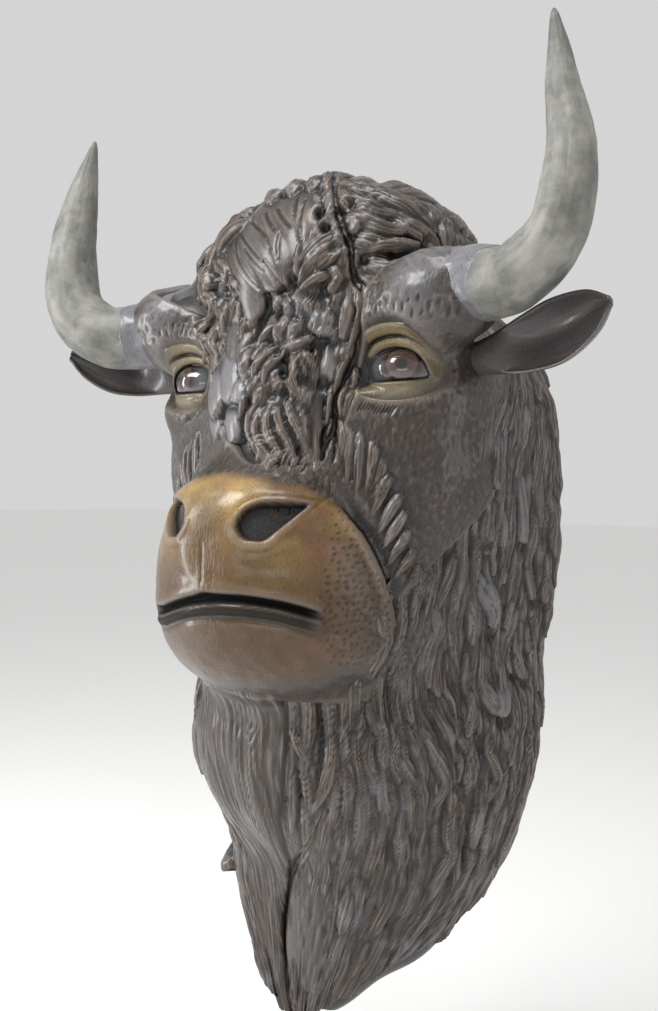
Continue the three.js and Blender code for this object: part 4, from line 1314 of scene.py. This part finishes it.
def mane_plan(side, rng):
    """Staggered locks from behind the ear to the hem, combed as their neighbours are."""
    plan = []
    for row in range(25):
        level = 262 - 34 * row
        front, back = mane_front(level - 40, side), back_corner(level) - 1
        count = max(3, int((back - front) / 5.0))
        for k in range(count):
            degrees = front + (back - front) * (k + 0.5 * (row % 2)) / (count - 0.5) + rng.uniform(-2, 2)
            top = level + rng.uniform(-14, 14)
            length = rng.uniform(90, 170)
            guide = [(degrees, top)]
            wave = rng.uniform(-1.6, 1.6)
            for part in range(4):
                degrees += combing(degrees, top) * length / 4 + wave * (1, -1.6, 1.3, -1)[part]
                top -= length / 4
                guide.append((min(degrees, back_corner(top)), top))
            blunt = rng.uniform() < (0.3 if level > -230 and degrees > 62 else 0.08)
            width = rng.uniform(15, 30)
            thickness = rng.uniform(9, 11.5) if blunt else rng.uniform(5.5, 9)
            cool = max(0, rng.uniform(-1.3, 0.35))
            plan.append((mirror_guide(guide, side), width, thickness, "blunt" if blunt else "flow", cool))
    return plan


class HEAD_OT_mane(bpy.types.Operator):
    """Sculpts the mane on both sides of the neck, with its scalloped hem"""

    bl_idname = "head.mane"
    bl_label = "Mane"

    def execute(self, context):
        settings = context.scene.buffalo_coat
        for side, word, spacing in ((1, "left", settings.hair_grain), (-1, "right", settings.far_grain)):
            self.sculpt(settings, side, word, spacing / MM * (1))
        return {"FINISHED"}

    @staticmethod
    def sculpt(settings, side, word, step):
        def ray(u, w):
            u = u if side > 0 else 1 - u
            degrees = 60 + 60 * u
            for _ in range(6):
                low = hem_height(degrees, 21 if side > 0 else 22)
                height = low + (272 - low) * w
                front = mane_front(height, side) - 7
                degrees = front + (back_corner(height) + 1 - front) * u
            return spine_ray(side * degrees, height)

        sheet = Sheet(ray, int(345 / step), int(800 / step), hem=False)
        sheet.height[:] = HAIR_FLOOR
        rng = np.random.default_rng(31 if side > 0 else 32)
        lay_hair(sheet, spine_ray, mane_plan(side, rng), 4, 1.5)
        shown = MANE_LOCKS if side > 0 else MANE_LOCKS[:12]
        lay_hair(sheet, spine_ray, [(mirror_guide(lock[0], side),) + lock[1:] for lock in shown], 6, 1.6)
        if side > 0:
            lay_hair(sheet, spine_ray, LEAF, 7)
        else:
            knob = skin_paths([((-80, -436), (-83, -452), (-85, -470))], spine_ray)[0]
            sheet.lay_lock(knob, 38, 27, "blunt", 1.0)
        arc = np.radians(polar(sheet.points)) * NECK_RADIUS
        uneven = 1.4 * grain(arc / 11, sheet.points[:, 2] / 16, 12)
        sheet.height += np.where(sheet.height > HAIR_BASE, uneven, 0)
        # The rim against the wall and the hem's lower edge turn in toward the core
        shaped = shape_sheet(sheet)
        inward = turn_hem(shaped)
        rim = -1 if side > 0 else 0
        shaped[:, rim] += inward[:, rim] * 25
        shaped[:, rim, 1] = -0.3
        piece = hair_piece(f"mane_{word}", sheet, shaped)
        finish_piece(piece, "coat_paint", painted_coat(settings), "head")


KEEL_HEIGHTS = (-600, -555, -519, -478, -437, -399, -352, -277, -211)
KEEL_DEGREES = (-5, -6, -13, -9, -1, 8.4, 8.4, 13.8, 13.3)
CREASE = ((28, -325), (21, -371), (9, -408), (-1, -437), (-8.6, -478), (-12, -519), (-6, -560), (-5, -592))


class HEAD_OT_beard(bpy.types.Operator):
    """Sculpts the throat and the long beard with its smooth keel"""

    bl_idname = "head.beard"
    bl_label = "Beard"

    def execute(self, context):
        settings = context.scene.buffalo_coat
        step = settings.hair_grain / MM * 1

        def ray(u, w):
            height = -596 + (-192 + 596) * w
            far, near = mane_front(height, -1) + 9, mane_front(height, 1) + 9
            return spine_ray(-far + (near + far) * u, height)

        sheet = Sheet(ray, int(255 / step), int(430 / step), hem=False)
        rng = np.random.default_rng(41)
        level, around = sheet.points[:, 2], polar(sheet.points)
        arc = np.radians(around) * BEARD_RADIUS
        # The keel and the far side are smooth, with fine combing from top to bottom
        keel = np.interp(level, KEEL_HEIGHTS, KEEL_DEGREES)
        combed = smooth_step(keel - 3, keel + 2, around)
        sheet.comb[:, 0], sheet.comb[:, 1] = arc, level
        sheet.hair[:] = 0.8
        sheet.height -= comb_grooves(arc / 5.2 + 0.4 * grain(arc / 20, level / 40, 17), level / 85, 1.3)
        sheet.height += 2.2 * grain(arc / 19, level / 110, 15) + 1.0 * grain(arc / 9, level / 30, 16)
        sheet.height += 3.5 * np.exp(-((around - keel + 9) / 8) ** 2)
        sheet.height = sheet.height * (1 - combed) + (HAIR_BASE - 1.5) * combed
        plan = []
        for row in range(10):
            top = -192 - 34 * row
            start, reach = np.interp(top, KEEL_HEIGHTS, KEEL_DEGREES) + 1, mane_front(top - 40, 1) + 6
            for k in range(5):
                degrees = start + (reach - start) * (k + 0.5 * (row % 2)) / 4.5 + rng.uniform(-1, 1)
                length = rng.uniform(80, 140)
                end = max(degrees + rng.uniform(-4, 3), np.interp(top - length, KEEL_HEIGHTS, KEEL_DEGREES) + 2)
                plan.append((((degrees, top), ((degrees + end) / 2 + rng.uniform(-2, 2), top - length / 2),
                              (end, top - length)), rng.uniform(12, 22), rng.uniform(5, 8), "flow"))
        lay_hair(sheet, spine_ray, plan, 8, 1.4)
        beside = [lock for lock in MANE_LOCKS if lock[0][0][0] < 50 and lock[0][0][1] < -190]
        lay_hair(sheet, spine_ray, beside, 9, 1.5)
        lay_hair(sheet, spine_ray, LEAF, 7)
        sheet.press(skin_paths([CREASE], spine_ray, samples=40)[0], 11, 4.5)
        for side in (-1, 1):
            border = mane_front(level, side)
            sheet.height -= 8 * smooth_step(border + 4, border + 8.5, around * side)
        sheet.height -= 8 * smooth_step(-206, -196, level)
        shaped = shape_sheet(sheet)
        turn_hem(shaped)
        piece = hair_piece("beard", sheet, shaped)
        finish_piece(piece, "coat_paint", painted_coat(settings), "head")
        return {"FINISHED"}


# Horns, ears and eyes

def smooth_values(values, samples):
    return smooth_line(np.array(values, float)[:, None], samples)[:, 0]


def mirrored(path, side):
    return np.array(path, float) * (side, 1, 1)


def horn_material(settings):
    """Matt acrylic over cast resin, sponged in greys like weathered horn, with a fine grain along it."""
    found = bpy.data.materials.get("sponged_horn_paint")
    if found:
        return found
    material, tree = new_material("sponged_horn_paint")
    place = node(tree, "ShaderNodeTexCoord").outputs["Object"]
    comb = node(tree, "ShaderNodeAttribute", attribute_name="comb").outputs["Vector"]
    relief = node(tree, "ShaderNodeAttribute", attribute_name="relief").outputs["Fac"]
    cloud = node(tree, "ShaderNodeTexNoise", {"Vector": place, "Scale": 22.0, "Detail": 5.0, "Roughness": 0.6})
    blotch = node(tree, "ShaderNodeTexNoise", {"Vector": place, "Scale": 48.0, "Detail": 6.0,
                                                "Roughness": 0.65})
    # Grain lines some 1.5 mm wide and 50 mm long
    stretch = node(tree, "ShaderNodeVectorMath", {0: comb, 1: (0.6, 0.02, 1.0)}, operation="MULTIPLY")
    lines = node(tree, "ShaderNodeTexNoise", {"Vector": stretch.outputs[0], "Scale": 1.0, "Detail": 3.0}).outputs["Fac"]
    factor = node(tree, "ShaderNodeMapRange", {0: cloud.outputs["Fac"], 1: 0.35, 2: 0.65}).outputs[0]
    base = node(tree, "ShaderNodeMix", {0: factor, 6: opaque(settings.grey), 7: opaque(settings.pale)},
                data_type="RGBA").outputs[2]
    # Beige and dark blotches, dark grain lines, and painted shade in the dips of the surface
    layers = ((blotch.outputs["Fac"], 0.52, 0.7, 0.6, settings.beige),
              (blotch.outputs["Fac"], 0.48, 0.3, 0.6, settings.dark),
              (lines, 0.42, 0.28, 0.35, settings.dark),
              (relief, 0.0, -1.4, 0.45, settings.dark))
    for source, start, end, strength, tone in layers:
        factor = node(tree, "ShaderNodeMapRange", {0: source, 1: start, 2: end, 3: 0.0, 4: strength}).outputs[0]
        base = node(tree, "ShaderNodeMix", {0: factor, 6: base, 7: opaque(tone)}, data_type="RGBA").outputs[2]
    rough = node(tree, "ShaderNodeMapRange", {0: cloud.outputs["Fac"], 3: 0.42, 4: 0.62}).outputs[0]
    bump = node(tree, "ShaderNodeBump", {"Height": lines, "Distance": 0.0005, "Strength": 0.6}).outputs[0]
    shader = node(tree, "ShaderNodeBsdfPrincipled", {"Base Color": base, "Roughness": rough, "Normal": bump})
    node(tree, "ShaderNodeOutputMaterial", {"Surface": shader.outputs[0]})
    return material


class HEAD_OT_horns(bpy.types.Operator):
    """Makes the two weathered horns"""

    bl_idname = "head.horns"
    bl_label = "Horns"

    def execute(self, context):
        settings = context.scene.buffalo_horn
        for side, word in ((1, "left"), (-1, "right")):
            path = mirrored(HORN_PATHS[word], side)
            centres, _, first, second = sweep_frames(path, settings.rings, (0, 1, 0))
            radii = smooth_values(HORN_RADII[word], settings.rings)
            radii[-4:] = radii[-4:] * (1, 0.93, 0.78, 0.45)
            angle = np.linspace(0, 2 * np.pi, settings.sides, endpoint=False)
            travelled = np.concatenate([[0], np.cumsum(np.linalg.norm(np.diff(centres, axis=0), axis=1))])
            turn, way = np.meshgrid(angle, travelled)
            wide = np.abs(turn - np.pi) * 30
            worn = (0.45 * grain(wide / 3.2, way / 46, 2) + 0.9 * grain(wide / 16, way / 34, 3)
                    + 0.4 * grain(wide / 6, way / 9, 4))
            thick = radii[:, None] + worn * np.clip(radii / 20, 0.2, 1)[:, None]
            ring = (first[:, None] * (thick * np.cos(turn))[..., None]
                    + second[:, None] * (thick * np.sin(turn))[..., None])
            comb = np.stack([wide, way, np.zeros_like(way)], -1).reshape(-1, 3)
            horn = tube_piece(f"weathered_horn_{word}", centres[:, None] + ring,
                              {"comb": comb, "relief": (worn - blur(worn, 3)).ravel() * 2})
            finish_piece(horn, "horn_paint", horn_material(settings), f"horn_{word}")
            self.sleeve(context, side, word)
        return {"FINISHED"}

    @staticmethod
    def sleeve(context, side, word):
        """The smooth collar of skin that the horn grows out of."""
        settings = context.scene.buffalo_coat
        centres, _, first, second = sweep_frames(mirrored(HORN_PATHS[word], side), 200, (0, 1, 0))
        radii = smooth_values(HORN_RADII[word], 200)
        span = slice(2, 52)
        centres, first, second, radii = centres[span], first[span], second[span], radii[span]
        share = np.linspace(0, 1, 50)
        angle = np.linspace(0, 2 * np.pi, 96, endpoint=False)
        turn, way = np.meshgrid(angle, share)
        wide = np.abs(turn - np.pi)
        uneven = 0.16 * grain(wide * 2.2, way * 0 + 1, 6)
        swell = 7 * (1 - smooth_step(0, 0.8, way)) ** 1.3 + 1.8 * smooth_step(1.0, 0.8, way + uneven * 0.4)
        creases = 0.8 * grain(wide * 3, way * 6, 7) + 0.4 * grain(wide * 8, way * 9, 8)
        thick = radii[:, None] + np.where(way > 0.97, -2, swell + creases * smooth_step(1, 0.8, way))
        ring = (first[:, None] * (thick * np.cos(turn))[..., None]
                + second[:, None] * (thick * np.sin(turn))[..., None])
        points = centres[:, None] + ring
        count = points.shape[0] * points.shape[1]
        # Its crease dips are darkened a little: painted shade
        sleeve = tube_piece(f"horn_sleeve_{word}", points, {
            "relief": creases.ravel() * 0.25, "hollow": creases.ravel() * 0.4, "hair": np.zeros(count),
            "cool": (0.75 + 0.2 * smooth_step(0.1, 0.5, way)).ravel(), "comb": points.reshape(-1, 3),
            "tint": np.zeros((count, 3))})
        finish_piece(sleeve, "coat_paint", painted_coat(settings), "head")


class HEAD_OT_ears(bpy.types.Operator):
    """Makes the two cupped ears"""

    bl_idname = "head.ears"
    bl_label = "Ears"

    def execute(self, context):
        settings = context.scene.buffalo_coat
        samples, outer, inner = 90, 60, 44
        for side, word in ((1, "left"), (-1, "right")):
            centres = smooth_line(mirrored(EAR_PATH, side), samples)
            run = np.gradient(centres, axis=0)
            run /= np.linalg.norm(run, axis=1, keepdims=True)
            up = np.array((0, 0, 1)) - run * run[:, 2:3]
            up /= np.linalg.norm(up, axis=1, keepdims=True)
            back = np.array((0, 1, 0)) - run * run[:, 1:2]
            back /= np.linalg.norm(back, axis=1, keepdims=True)
            high, deep, hollow = (smooth_values(values, samples)
                                  for values in (EAR_HALF_HEIGHTS, EAR_DEPTHS, EAR_HOLLOWS))
            share = np.linspace(0, 1, samples)[:, None]
            angle = np.linspace(0, np.pi, outer)[None]
            fur = 0.7 * grain(angle * 9, share * 9, 1) + 0.4 * grain(angle * 22, share * 14, 2)
            outside = (high[:, None] * np.cos(angle), (deep[:, None] + fur) * np.sin(angle))
            bend = np.linspace(np.pi, 0, inner + 2)[1:-1][None]
            folds = 1.2 * np.sin(bend * 5 + share * 3) * smooth_step(0.35, 0.6, share)
            inside = ((high[:, None] - 3.2) * np.cos(bend),
                      (deep * hollow)[:, None] * np.sin(bend) + folds)
            tall = np.concatenate([outside[0], inside[0]], axis=1)
            thick = np.concatenate([outside[1], inside[1]], axis=1)
            points = centres[:, None] + up[:, None] * tall[..., None] + back[:, None] * thick[..., None]
            count = samples * (outer + inner)
            # The inside of the cup is darkened a little, as painted shade
            cup = np.zeros((samples, outer + inner))
            cup[:, outer:] = smooth_step(0.38, 0.55, share) * np.sin(bend) ** 0.6
            tint = np.zeros((count, 3))
            tint[:, 2] = (cup * np.maximum(0.2 - 0.5 * share, 0)).ravel()
            around = np.concatenate([angle + 0 * share, bend + 0 * share], axis=1) * 24
            comb = np.stack([around, share * 190 + 0 * around, 0 * around], -1).reshape(-1, 3)
            relief = np.concatenate([fur * 0.4, 0.12 + 0.25 * folds], axis=1).ravel()
            ear = tube_piece(f"cupped_ear_{word}", points, {
                "relief": relief, "hollow": -0.2 * cup.ravel(), "hair": np.full(count, 0.3), "comb": comb,
                "cool": np.full(count, 0.3), "tint": tint})
            finish_piece(ear, "coat_paint", painted_coat(settings), f"ear_{word}")
        return {"FINISHED"}


def eye_material(settings):
    """Glass-clear varnish over a painted eye: brown iris streaked grey outward as a painted reflection, dark pupil,
    bluish white at the corner.
    """
    found = bpy.data.materials.get("varnished_eye")
    if found:
        return found
    material, tree = new_material("varnished_eye")
    gaze = node(tree, "ShaderNodeAttribute", attribute_name="gaze").outputs["Vector"]
    parts = node(tree, "ShaderNodeSeparateXYZ", {0: gaze})
    away = parts.outputs[2]
    pupil_end, iris_end = settings.pupil_radius / MM, settings.iris_radius / MM
    streak = node(tree, "ShaderNodeTexNoise", {"Vector": gaze, "Scale": 0.5, "Detail": 3.0}).outputs["Fac"]
    # The iris turns from maroon to grey outward, the grey a painted reflection
    iris = node(tree, "ShaderNodeMapRange", {0: away, 1: pupil_end, 2: iris_end, 3: 0.0, 4: 1.0}).outputs[0]
    iris = node(tree, "ShaderNodeMath", {0: iris, 1: streak}, operation="MULTIPLY").outputs[0]
    base = node(tree, "ShaderNodeMix", {0: iris, 6: opaque(settings.iris), 7: opaque(settings.iris_grey_reflection)},
                data_type="RGBA").outputs[2]
    pupil = node(tree, "ShaderNodeMapRange", {0: away, 1: pupil_end + 1, 2: pupil_end - 1})
    base = node(tree, "ShaderNodeMix", {0: pupil.outputs[0], 6: base, 7: opaque(linear_colour("#0b0807"))},
                data_type="RGBA").outputs[2]
    edge = node(tree, "ShaderNodeMapRange", {0: away, 1: iris_end - 1.5, 2: iris_end + 0.5})
    base = node(tree, "ShaderNodeMix", {0: edge.outputs[0], 6: base, 7: opaque(linear_colour("#2a1714"))},
                data_type="RGBA").outputs[2]
    white = node(tree, "ShaderNodeMapRange", {0: away, 1: iris_end + 2, 2: iris_end + 12, 3: 0.0, 4: 0.3})
    base = node(tree, "ShaderNodeMix", {0: white.outputs[0], 6: base, 7: opaque(settings.white)},
                data_type="RGBA").outputs[2]
    shader = node(tree, "ShaderNodeBsdfPrincipled", {"Base Color": base, "Roughness": 0.18, "Coat Weight": 1.0,
                                                     "Coat Roughness": 0.03})
    node(tree, "ShaderNodeOutputMaterial", {"Surface": shader.outputs[0]})
    return material


def eyeball_front(x, z):
    """Depth of the turned eyeball's front, on the animal's left, at a place across and up."""
    cos, sin = math.cos(EYE_TURN), math.sin(EYE_TURN)
    rx, ry, rz = EYE_RADII
    u = x - EYE_CENTRE[0]
    a = (sin / rx) ** 2 + (cos / ry) ** 2
    b = u * cos * sin * (1 / rx ** 2 - 1 / ry ** 2)
    c = u * u * ((cos / rx) ** 2 + (sin / ry) ** 2) + ((z - EYE_CENTRE[2]) / rz) ** 2 - 1
    return EYE_CENTRE[1] - (b + np.sqrt(np.maximum(b * b - a * c, 0))) / a


class HEAD_OT_eyes(bpy.types.Operator):
    """Makes the glossy eyes and the ochre lids round them"""

    bl_idname = "head.eyes"
    bl_label = "Eyes and lids"

    def execute(self, context):
        for side, word in ((1, "left"), (-1, "right")):
            self.eye(context, side, word)
            self.lids(context, side, word)
        return {"FINISHED"}

    @staticmethod
    def eye(context, side, word):
        settings = context.scene.buffalo_eye
        deselect()
        bpy.ops.mesh.primitive_uv_sphere_add(segments=96, ring_count=64, radius=1)
        eye = context.object
        eye.name = f"glossy_eye_{word}"
        unit = np.array([v.co for v in eye.data.vertices])
        points = unit * EYE_RADII
        # The cornea bulges a little over the iris, which looks ahead of the eye's own turn
        away = np.hypot(points[:, 0] - IRIS_PLACE[0], points[:, 2] - IRIS_PLACE[1])
        gaze = np.stack([points[:, 0] - IRIS_PLACE[0], points[:, 2] - IRIS_PLACE[1],
                         np.where(points[:, 1] < 0, away, 60)], 1)
        iris = settings.iris_radius / MM
        points[:, 1] -= np.where(points[:, 1] < 0, 1.6 * (1 - smooth_step(iris * 0.5, iris * 1.2, away)), 0)
        cos, sin = math.cos(EYE_TURN), math.sin(EYE_TURN)
        points = points @ np.array(((cos, sin, 0), (-sin, cos, 0), (0, 0, 1)))
        points[:, 0] *= side
        points += np.array(EYE_CENTRE) * (side, 1, 1)
        eye.data.vertices.foreach_set("co", (points * MM).ravel())
        set_attributes(eye, {"gaze": gaze})
        edit(eye)
        bpy.ops.object.mode_set(mode="EDIT")
        bpy.ops.mesh.select_all(action="SELECT")
        bpy.ops.mesh.normals_make_consistent(inside=False)
        bpy.ops.object.mode_set(mode="OBJECT")
        smooth(eye)
        finish_piece(eye, "eye_glass", eye_material(settings), f"eye_{word}")

    @staticmethod
    def lids(context, side, word):
        """A ring of lid round the almond of the eye, with two creases over it, lofted from rim to brow."""
        settings = context.scene.buffalo_coat
        face = bpy.data.objects["face_skin"]
        around, rows = 160, 52
        angle = np.linspace(0, 2 * np.pi, around, endpoint=False)
        cos, sin = np.cos(angle), np.sin(angle)
        upper = smooth_step(-0.1, 0.25, sin)
        rim_x = LID_MIDDLE + LID_HALF_WIDTH * cos
        rim_z = LID_LEVEL + np.where(sin > 0, 28, 5.5) * np.sign(sin) * np.abs(sin) ** 0.95
        out_x = LID_MIDDLE + (LID_HALF_WIDTH + LID_SPREAD) * cos
        out_z = LID_LEVEL + np.where(sin > 0, LID_TOP, LID_BOTTOM) * sin
        skin = np.empty(around)
        for k in range(around):
            start = (side * out_x[k] * MM, -0.5, out_z[k] * MM)
            hit, place, _, _ = face.ray_cast(start, (0, 1, 0))
            if not hit:
                raise RuntimeError("a lid's edge found no face behind it")
            skin[k] = place.y / MM
        skin = blur(np.tile(skin, (3, 3)).reshape(3, -1), 2)[1, around:2 * around] + 2.5
        share = np.linspace(0, 1, rows)[:, None]
        x = rim_x + (out_x - rim_x) * share
        z = rim_z + (out_z - rim_z) * share
        rim = eyeball_front(rim_x, rim_z) - 2
        ball = eyeball_front(x, z) - 2.5
        depth = rim + (skin - rim) * smooth_step(0, 1, share) ** 0.9
        # The lid lies on the eyeball and lets go of it only in its outer fifth, where it joins the skin
        depth = np.minimum(depth, ball + 60 * np.maximum(share - 0.8, 0))
        # Height over the rim, in mm, of the upper lid's fold, crease and second fold
        gone = share * np.hypot(out_x - rim_x, out_z - rim_z)
        roll = 2.4 * np.exp(-((gone - 3) / 2.4) ** 2)
        inner = upper * smooth_step(1.05, 0.2, cos)
        puff = inner * 3.2 * (np.exp(-((gone - 6) / 3) ** 2) + np.exp(-((gone - 17) / 4.5) ** 2))
        puff = puff + (1 - upper) * 2.2 * np.exp(-((gone - 12) / 8) ** 2)
        crease = inner * (3.4 * np.exp(-((gone - 11) / 1.5) ** 2) + 2.6 * np.exp(-((gone - 24) / 2.2) ** 2))
        depth = depth - roll - puff + crease
        depth[0] = eyeball_front(rim_x, rim_z) + 6
        points = np.stack([side * x, depth, z + 0 * depth], -1)
        points = np.concatenate([points, points[:, :1]], axis=1)
        if side > 0:
            points = points[:, ::-1]
        strength = 0.9 - 0.35 * smooth_step(0.3, 0.9, cos) - 0.3 * (1 - upper)
        fade = (1 - smooth_step(0.5, 0.95, share)) * strength
        fold = 0.8 * upper * np.exp(-((gone - 17) / 7) ** 2) * (1 - smooth_step(0.2, 0.8, cos))
        ochre = np.maximum(fade, fold)
        # Ochre over the lid, and black along its rim where it meets the eye: painted shade
        shade = np.stack([0 * ochre, ochre, 1 - smooth_step(0.6, 2.4, gone)], -1)
        shade = np.concatenate([shade, shade[:, :1]], axis=1)
        dents = np.concatenate([crease, crease[:, :1]], axis=1)
        if side > 0:
            shade, dents = shade[:, ::-1], dents[:, ::-1]
        count = dents.size
        # The creases are darkened by their relief and hollow values: painted shade
        lid = grid_piece(f"eyelids_{word}", points, {
            "relief": -0.35 * dents.ravel(), "hollow": -1.3 * dents.ravel(), "hair": np.zeros(count),
            "cool": np.zeros(count),
            "comb": points.reshape(-1, 3), "tint": shade.reshape(-1, 3)})
        edit(lid)
        bpy.ops.object.mode_set(mode="EDIT")
        bpy.ops.mesh.select_all(action="SELECT")
        bpy.ops.mesh.remove_doubles(threshold=0.00001)
        bpy.ops.object.mode_set(mode="OBJECT")
        finish_piece(lid, "coat_paint", painted_coat(settings), "head")


class HEAD_OT_plate(bpy.types.Operator):
    """Gives the steel hanging plate its finish"""

    bl_idname = "head.plate"
    bl_label = "Hanging plate"

    def execute(self, context):
        # Cold-rolled steel, brushed upright: fine scratches and a dull shine
        material, tree = new_material("brushed_steel")
        place = node(tree, "ShaderNodeTexCoord").outputs["Object"]
        scratch = node(tree, "ShaderNodeMapping", {"Vector": place, "Scale": (2600, 2600, 60)}).outputs[0]
        scratch = node(tree, "ShaderNodeTexNoise", {"Vector": scratch, "Scale": 1.0}).outputs["Fac"]
        rough = node(tree, "ShaderNodeMapRange", {0: scratch, 3: 0.3, 4: 0.5}).outputs[0]
        base = node(tree, "ShaderNodeMix", {0: scratch, 6: opaque(linear_colour("#7d7f81")),
                                            7: opaque(linear_colour("#a6a8aa"))}, data_type="RGBA").outputs[2]
        bump = node(tree, "ShaderNodeBump", {"Height": scratch, "Distance": 0.0001}).outputs[0]
        shader = node(tree, "ShaderNodeBsdfPrincipled", {"Base Color": base, "Metallic": 1.0,
                                                         "Roughness": rough,
                                                         "Normal": bump})
        node(tree, "ShaderNodeOutputMaterial", {"Surface": shader.outputs[0]})
        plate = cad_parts["hanging_plate"]
        for slot in plate.material_slots:
            slot.material = material
        return {"FINISHED"}


# Stage

class HEAD_OT_stage(bpy.types.Operator):
    """Adds the pale floor, the soft studio lights and the camera at the photograph's angle"""

    bl_idname = "head.stage"
    bl_label = "Stage"

    def execute(self, context):
        settings = context.scene.buffalo_stage
        deselect()
        bpy.ops.mesh.primitive_plane_add(size=settings.floor_size, location=(0, 0, FLOOR_LEVEL))
        floor = context.object
        floor.name = "studio_floor"
        material, tree = new_material("pale_floor_paint")
        place = node(tree, "ShaderNodeTexCoord").outputs["Object"]
        cloud = node(tree, "ShaderNodeTexNoise", {"Vector": place, "Scale": 2.0}).outputs["Fac"]
        rough = node(tree, "ShaderNodeMapRange", {0: cloud, 3: 0.7, 4: 0.85}).outputs[0]
        shader = node(tree, "ShaderNodeBsdfPrincipled", {"Base Color": opaque(settings.floor),
                                                         "Roughness": rough})
        node(tree, "ShaderNodeOutputMaterial", {"Surface": shader.outputs[0]})
        wear_material(floor, material)
        self.lights(context)
        self.camera(context)
        return {"FINISHED"}

    @staticmethod
    def lights(context):
        world = bpy.data.worlds.new("pale_studio")
        context.scene.world = world
        world.use_nodes = True
        world.node_tree.nodes["Background"].inputs[0].default_value = (1, 1, 1, 1)
        world.node_tree.nodes["Background"].inputs[1].default_value = WORLD_LIGHT
        context.scene.view_settings.view_transform = "Standard"
        lamps = (("key", (-0.9, -1.9, 1.7), (0.9, 0.9), 40), ("left", (-1.75, -1.35, 0.1), (0.35, 1.6), 24),
                 ("right", (2.2, -0.35, 0.35), (1.0, 1.6), 8), ("top", (0.2, -0.8, 2.0), (1.0, 0.7), 20),
                 ("low", (0.5, -2.2, -0.3), (1.2, 0.5), 4))
        for name, place, (width, tall), watts in lamps:
            bpy.ops.object.light_add(type="AREA", location=place)
            lamp = context.object
            lamp.name = f"lamp_{name}"
            lamp.data.shape = "RECTANGLE"
            lamp.data.size, lamp.data.size_y = width, tall
            lamp.data.energy = watts
            toward = Matrix.Translation(place).inverted() @ Matrix.Translation((0, -0.25, 0))
            lamp.rotation_euler = toward.translation.to_track_quat("-Z", "Y").to_euler()

    @staticmethod
    def camera(context):
        ahead, right, up = camera_axes()
        bpy.ops.object.camera_add()
        camera = context.object
        camera.name = "photo_camera"
        place = np.array(CAMERA_PLACE) * MM
        rows = [list(row) + [p] for row, p in zip(np.stack([right, up, -ahead], 1), place)]
        camera.matrix_world = Matrix(rows + [[0, 0, 0, 1]])
        camera.data.sensor_fit = "VERTICAL"
        camera.data.sensor_height = SENSOR_MM
        camera.data.lens = FOCAL_PX / PHOTO_HEIGHT_PX * SENSOR_MM
        camera.data.clip_start = 0.01
        context.scene.camera = camera


OPERATORS = (HEAD_OT_core, HEAD_OT_face, HEAD_OT_forelock, HEAD_OT_mane, HEAD_OT_beard, HEAD_OT_horns,
             HEAD_OT_ears, HEAD_OT_eyes, HEAD_OT_plate, HEAD_OT_stage)
SETTINGS = {"buffalo_coat": CoatSettings, "buffalo_horn": HornSettings, "buffalo_eye": EyeSettings,
            "buffalo_stage": StageSettings}


class HEAD_PT_panel(bpy.types.Panel):
    """Lists the head's pieces in the order in which they are made"""

    bl_idname = "HEAD_PT_panel"
    bl_label = "Buffalo head"
    bl_space_type = "VIEW_3D"
    bl_region_type = "UI"
    bl_category = "Buffalo head"

    def draw(self, context):
        for operator in OPERATORS:
            self.layout.operator(operator.bl_idname)
        for name, group in SETTINGS.items():
            box = self.layout.box()
            for key in group.__annotations__:
                box.prop(getattr(context.scene, name), key)


def register():
    for group in SETTINGS.values():
        bpy.utils.register_class(group)
    for name, group in SETTINGS.items():
        setattr(bpy.types.Scene, name, PointerProperty(type=group))
    for item in OPERATORS + (HEAD_PT_panel,):
        bpy.utils.register_class(item)


def unregister():
    for item in reversed(OPERATORS + (HEAD_PT_panel,)):
        bpy.utils.unregister_class(item)
    for name, group in SETTINGS.items():
        delattr(bpy.types.Scene, name)
        bpy.utils.unregister_class(group)


def main():
    register()
    for operator in OPERATORS:
        family, name = operator.bl_idname.split(".")
        getattr(getattr(bpy.ops, family), name)()


if __name__ == "__main__":
    main()
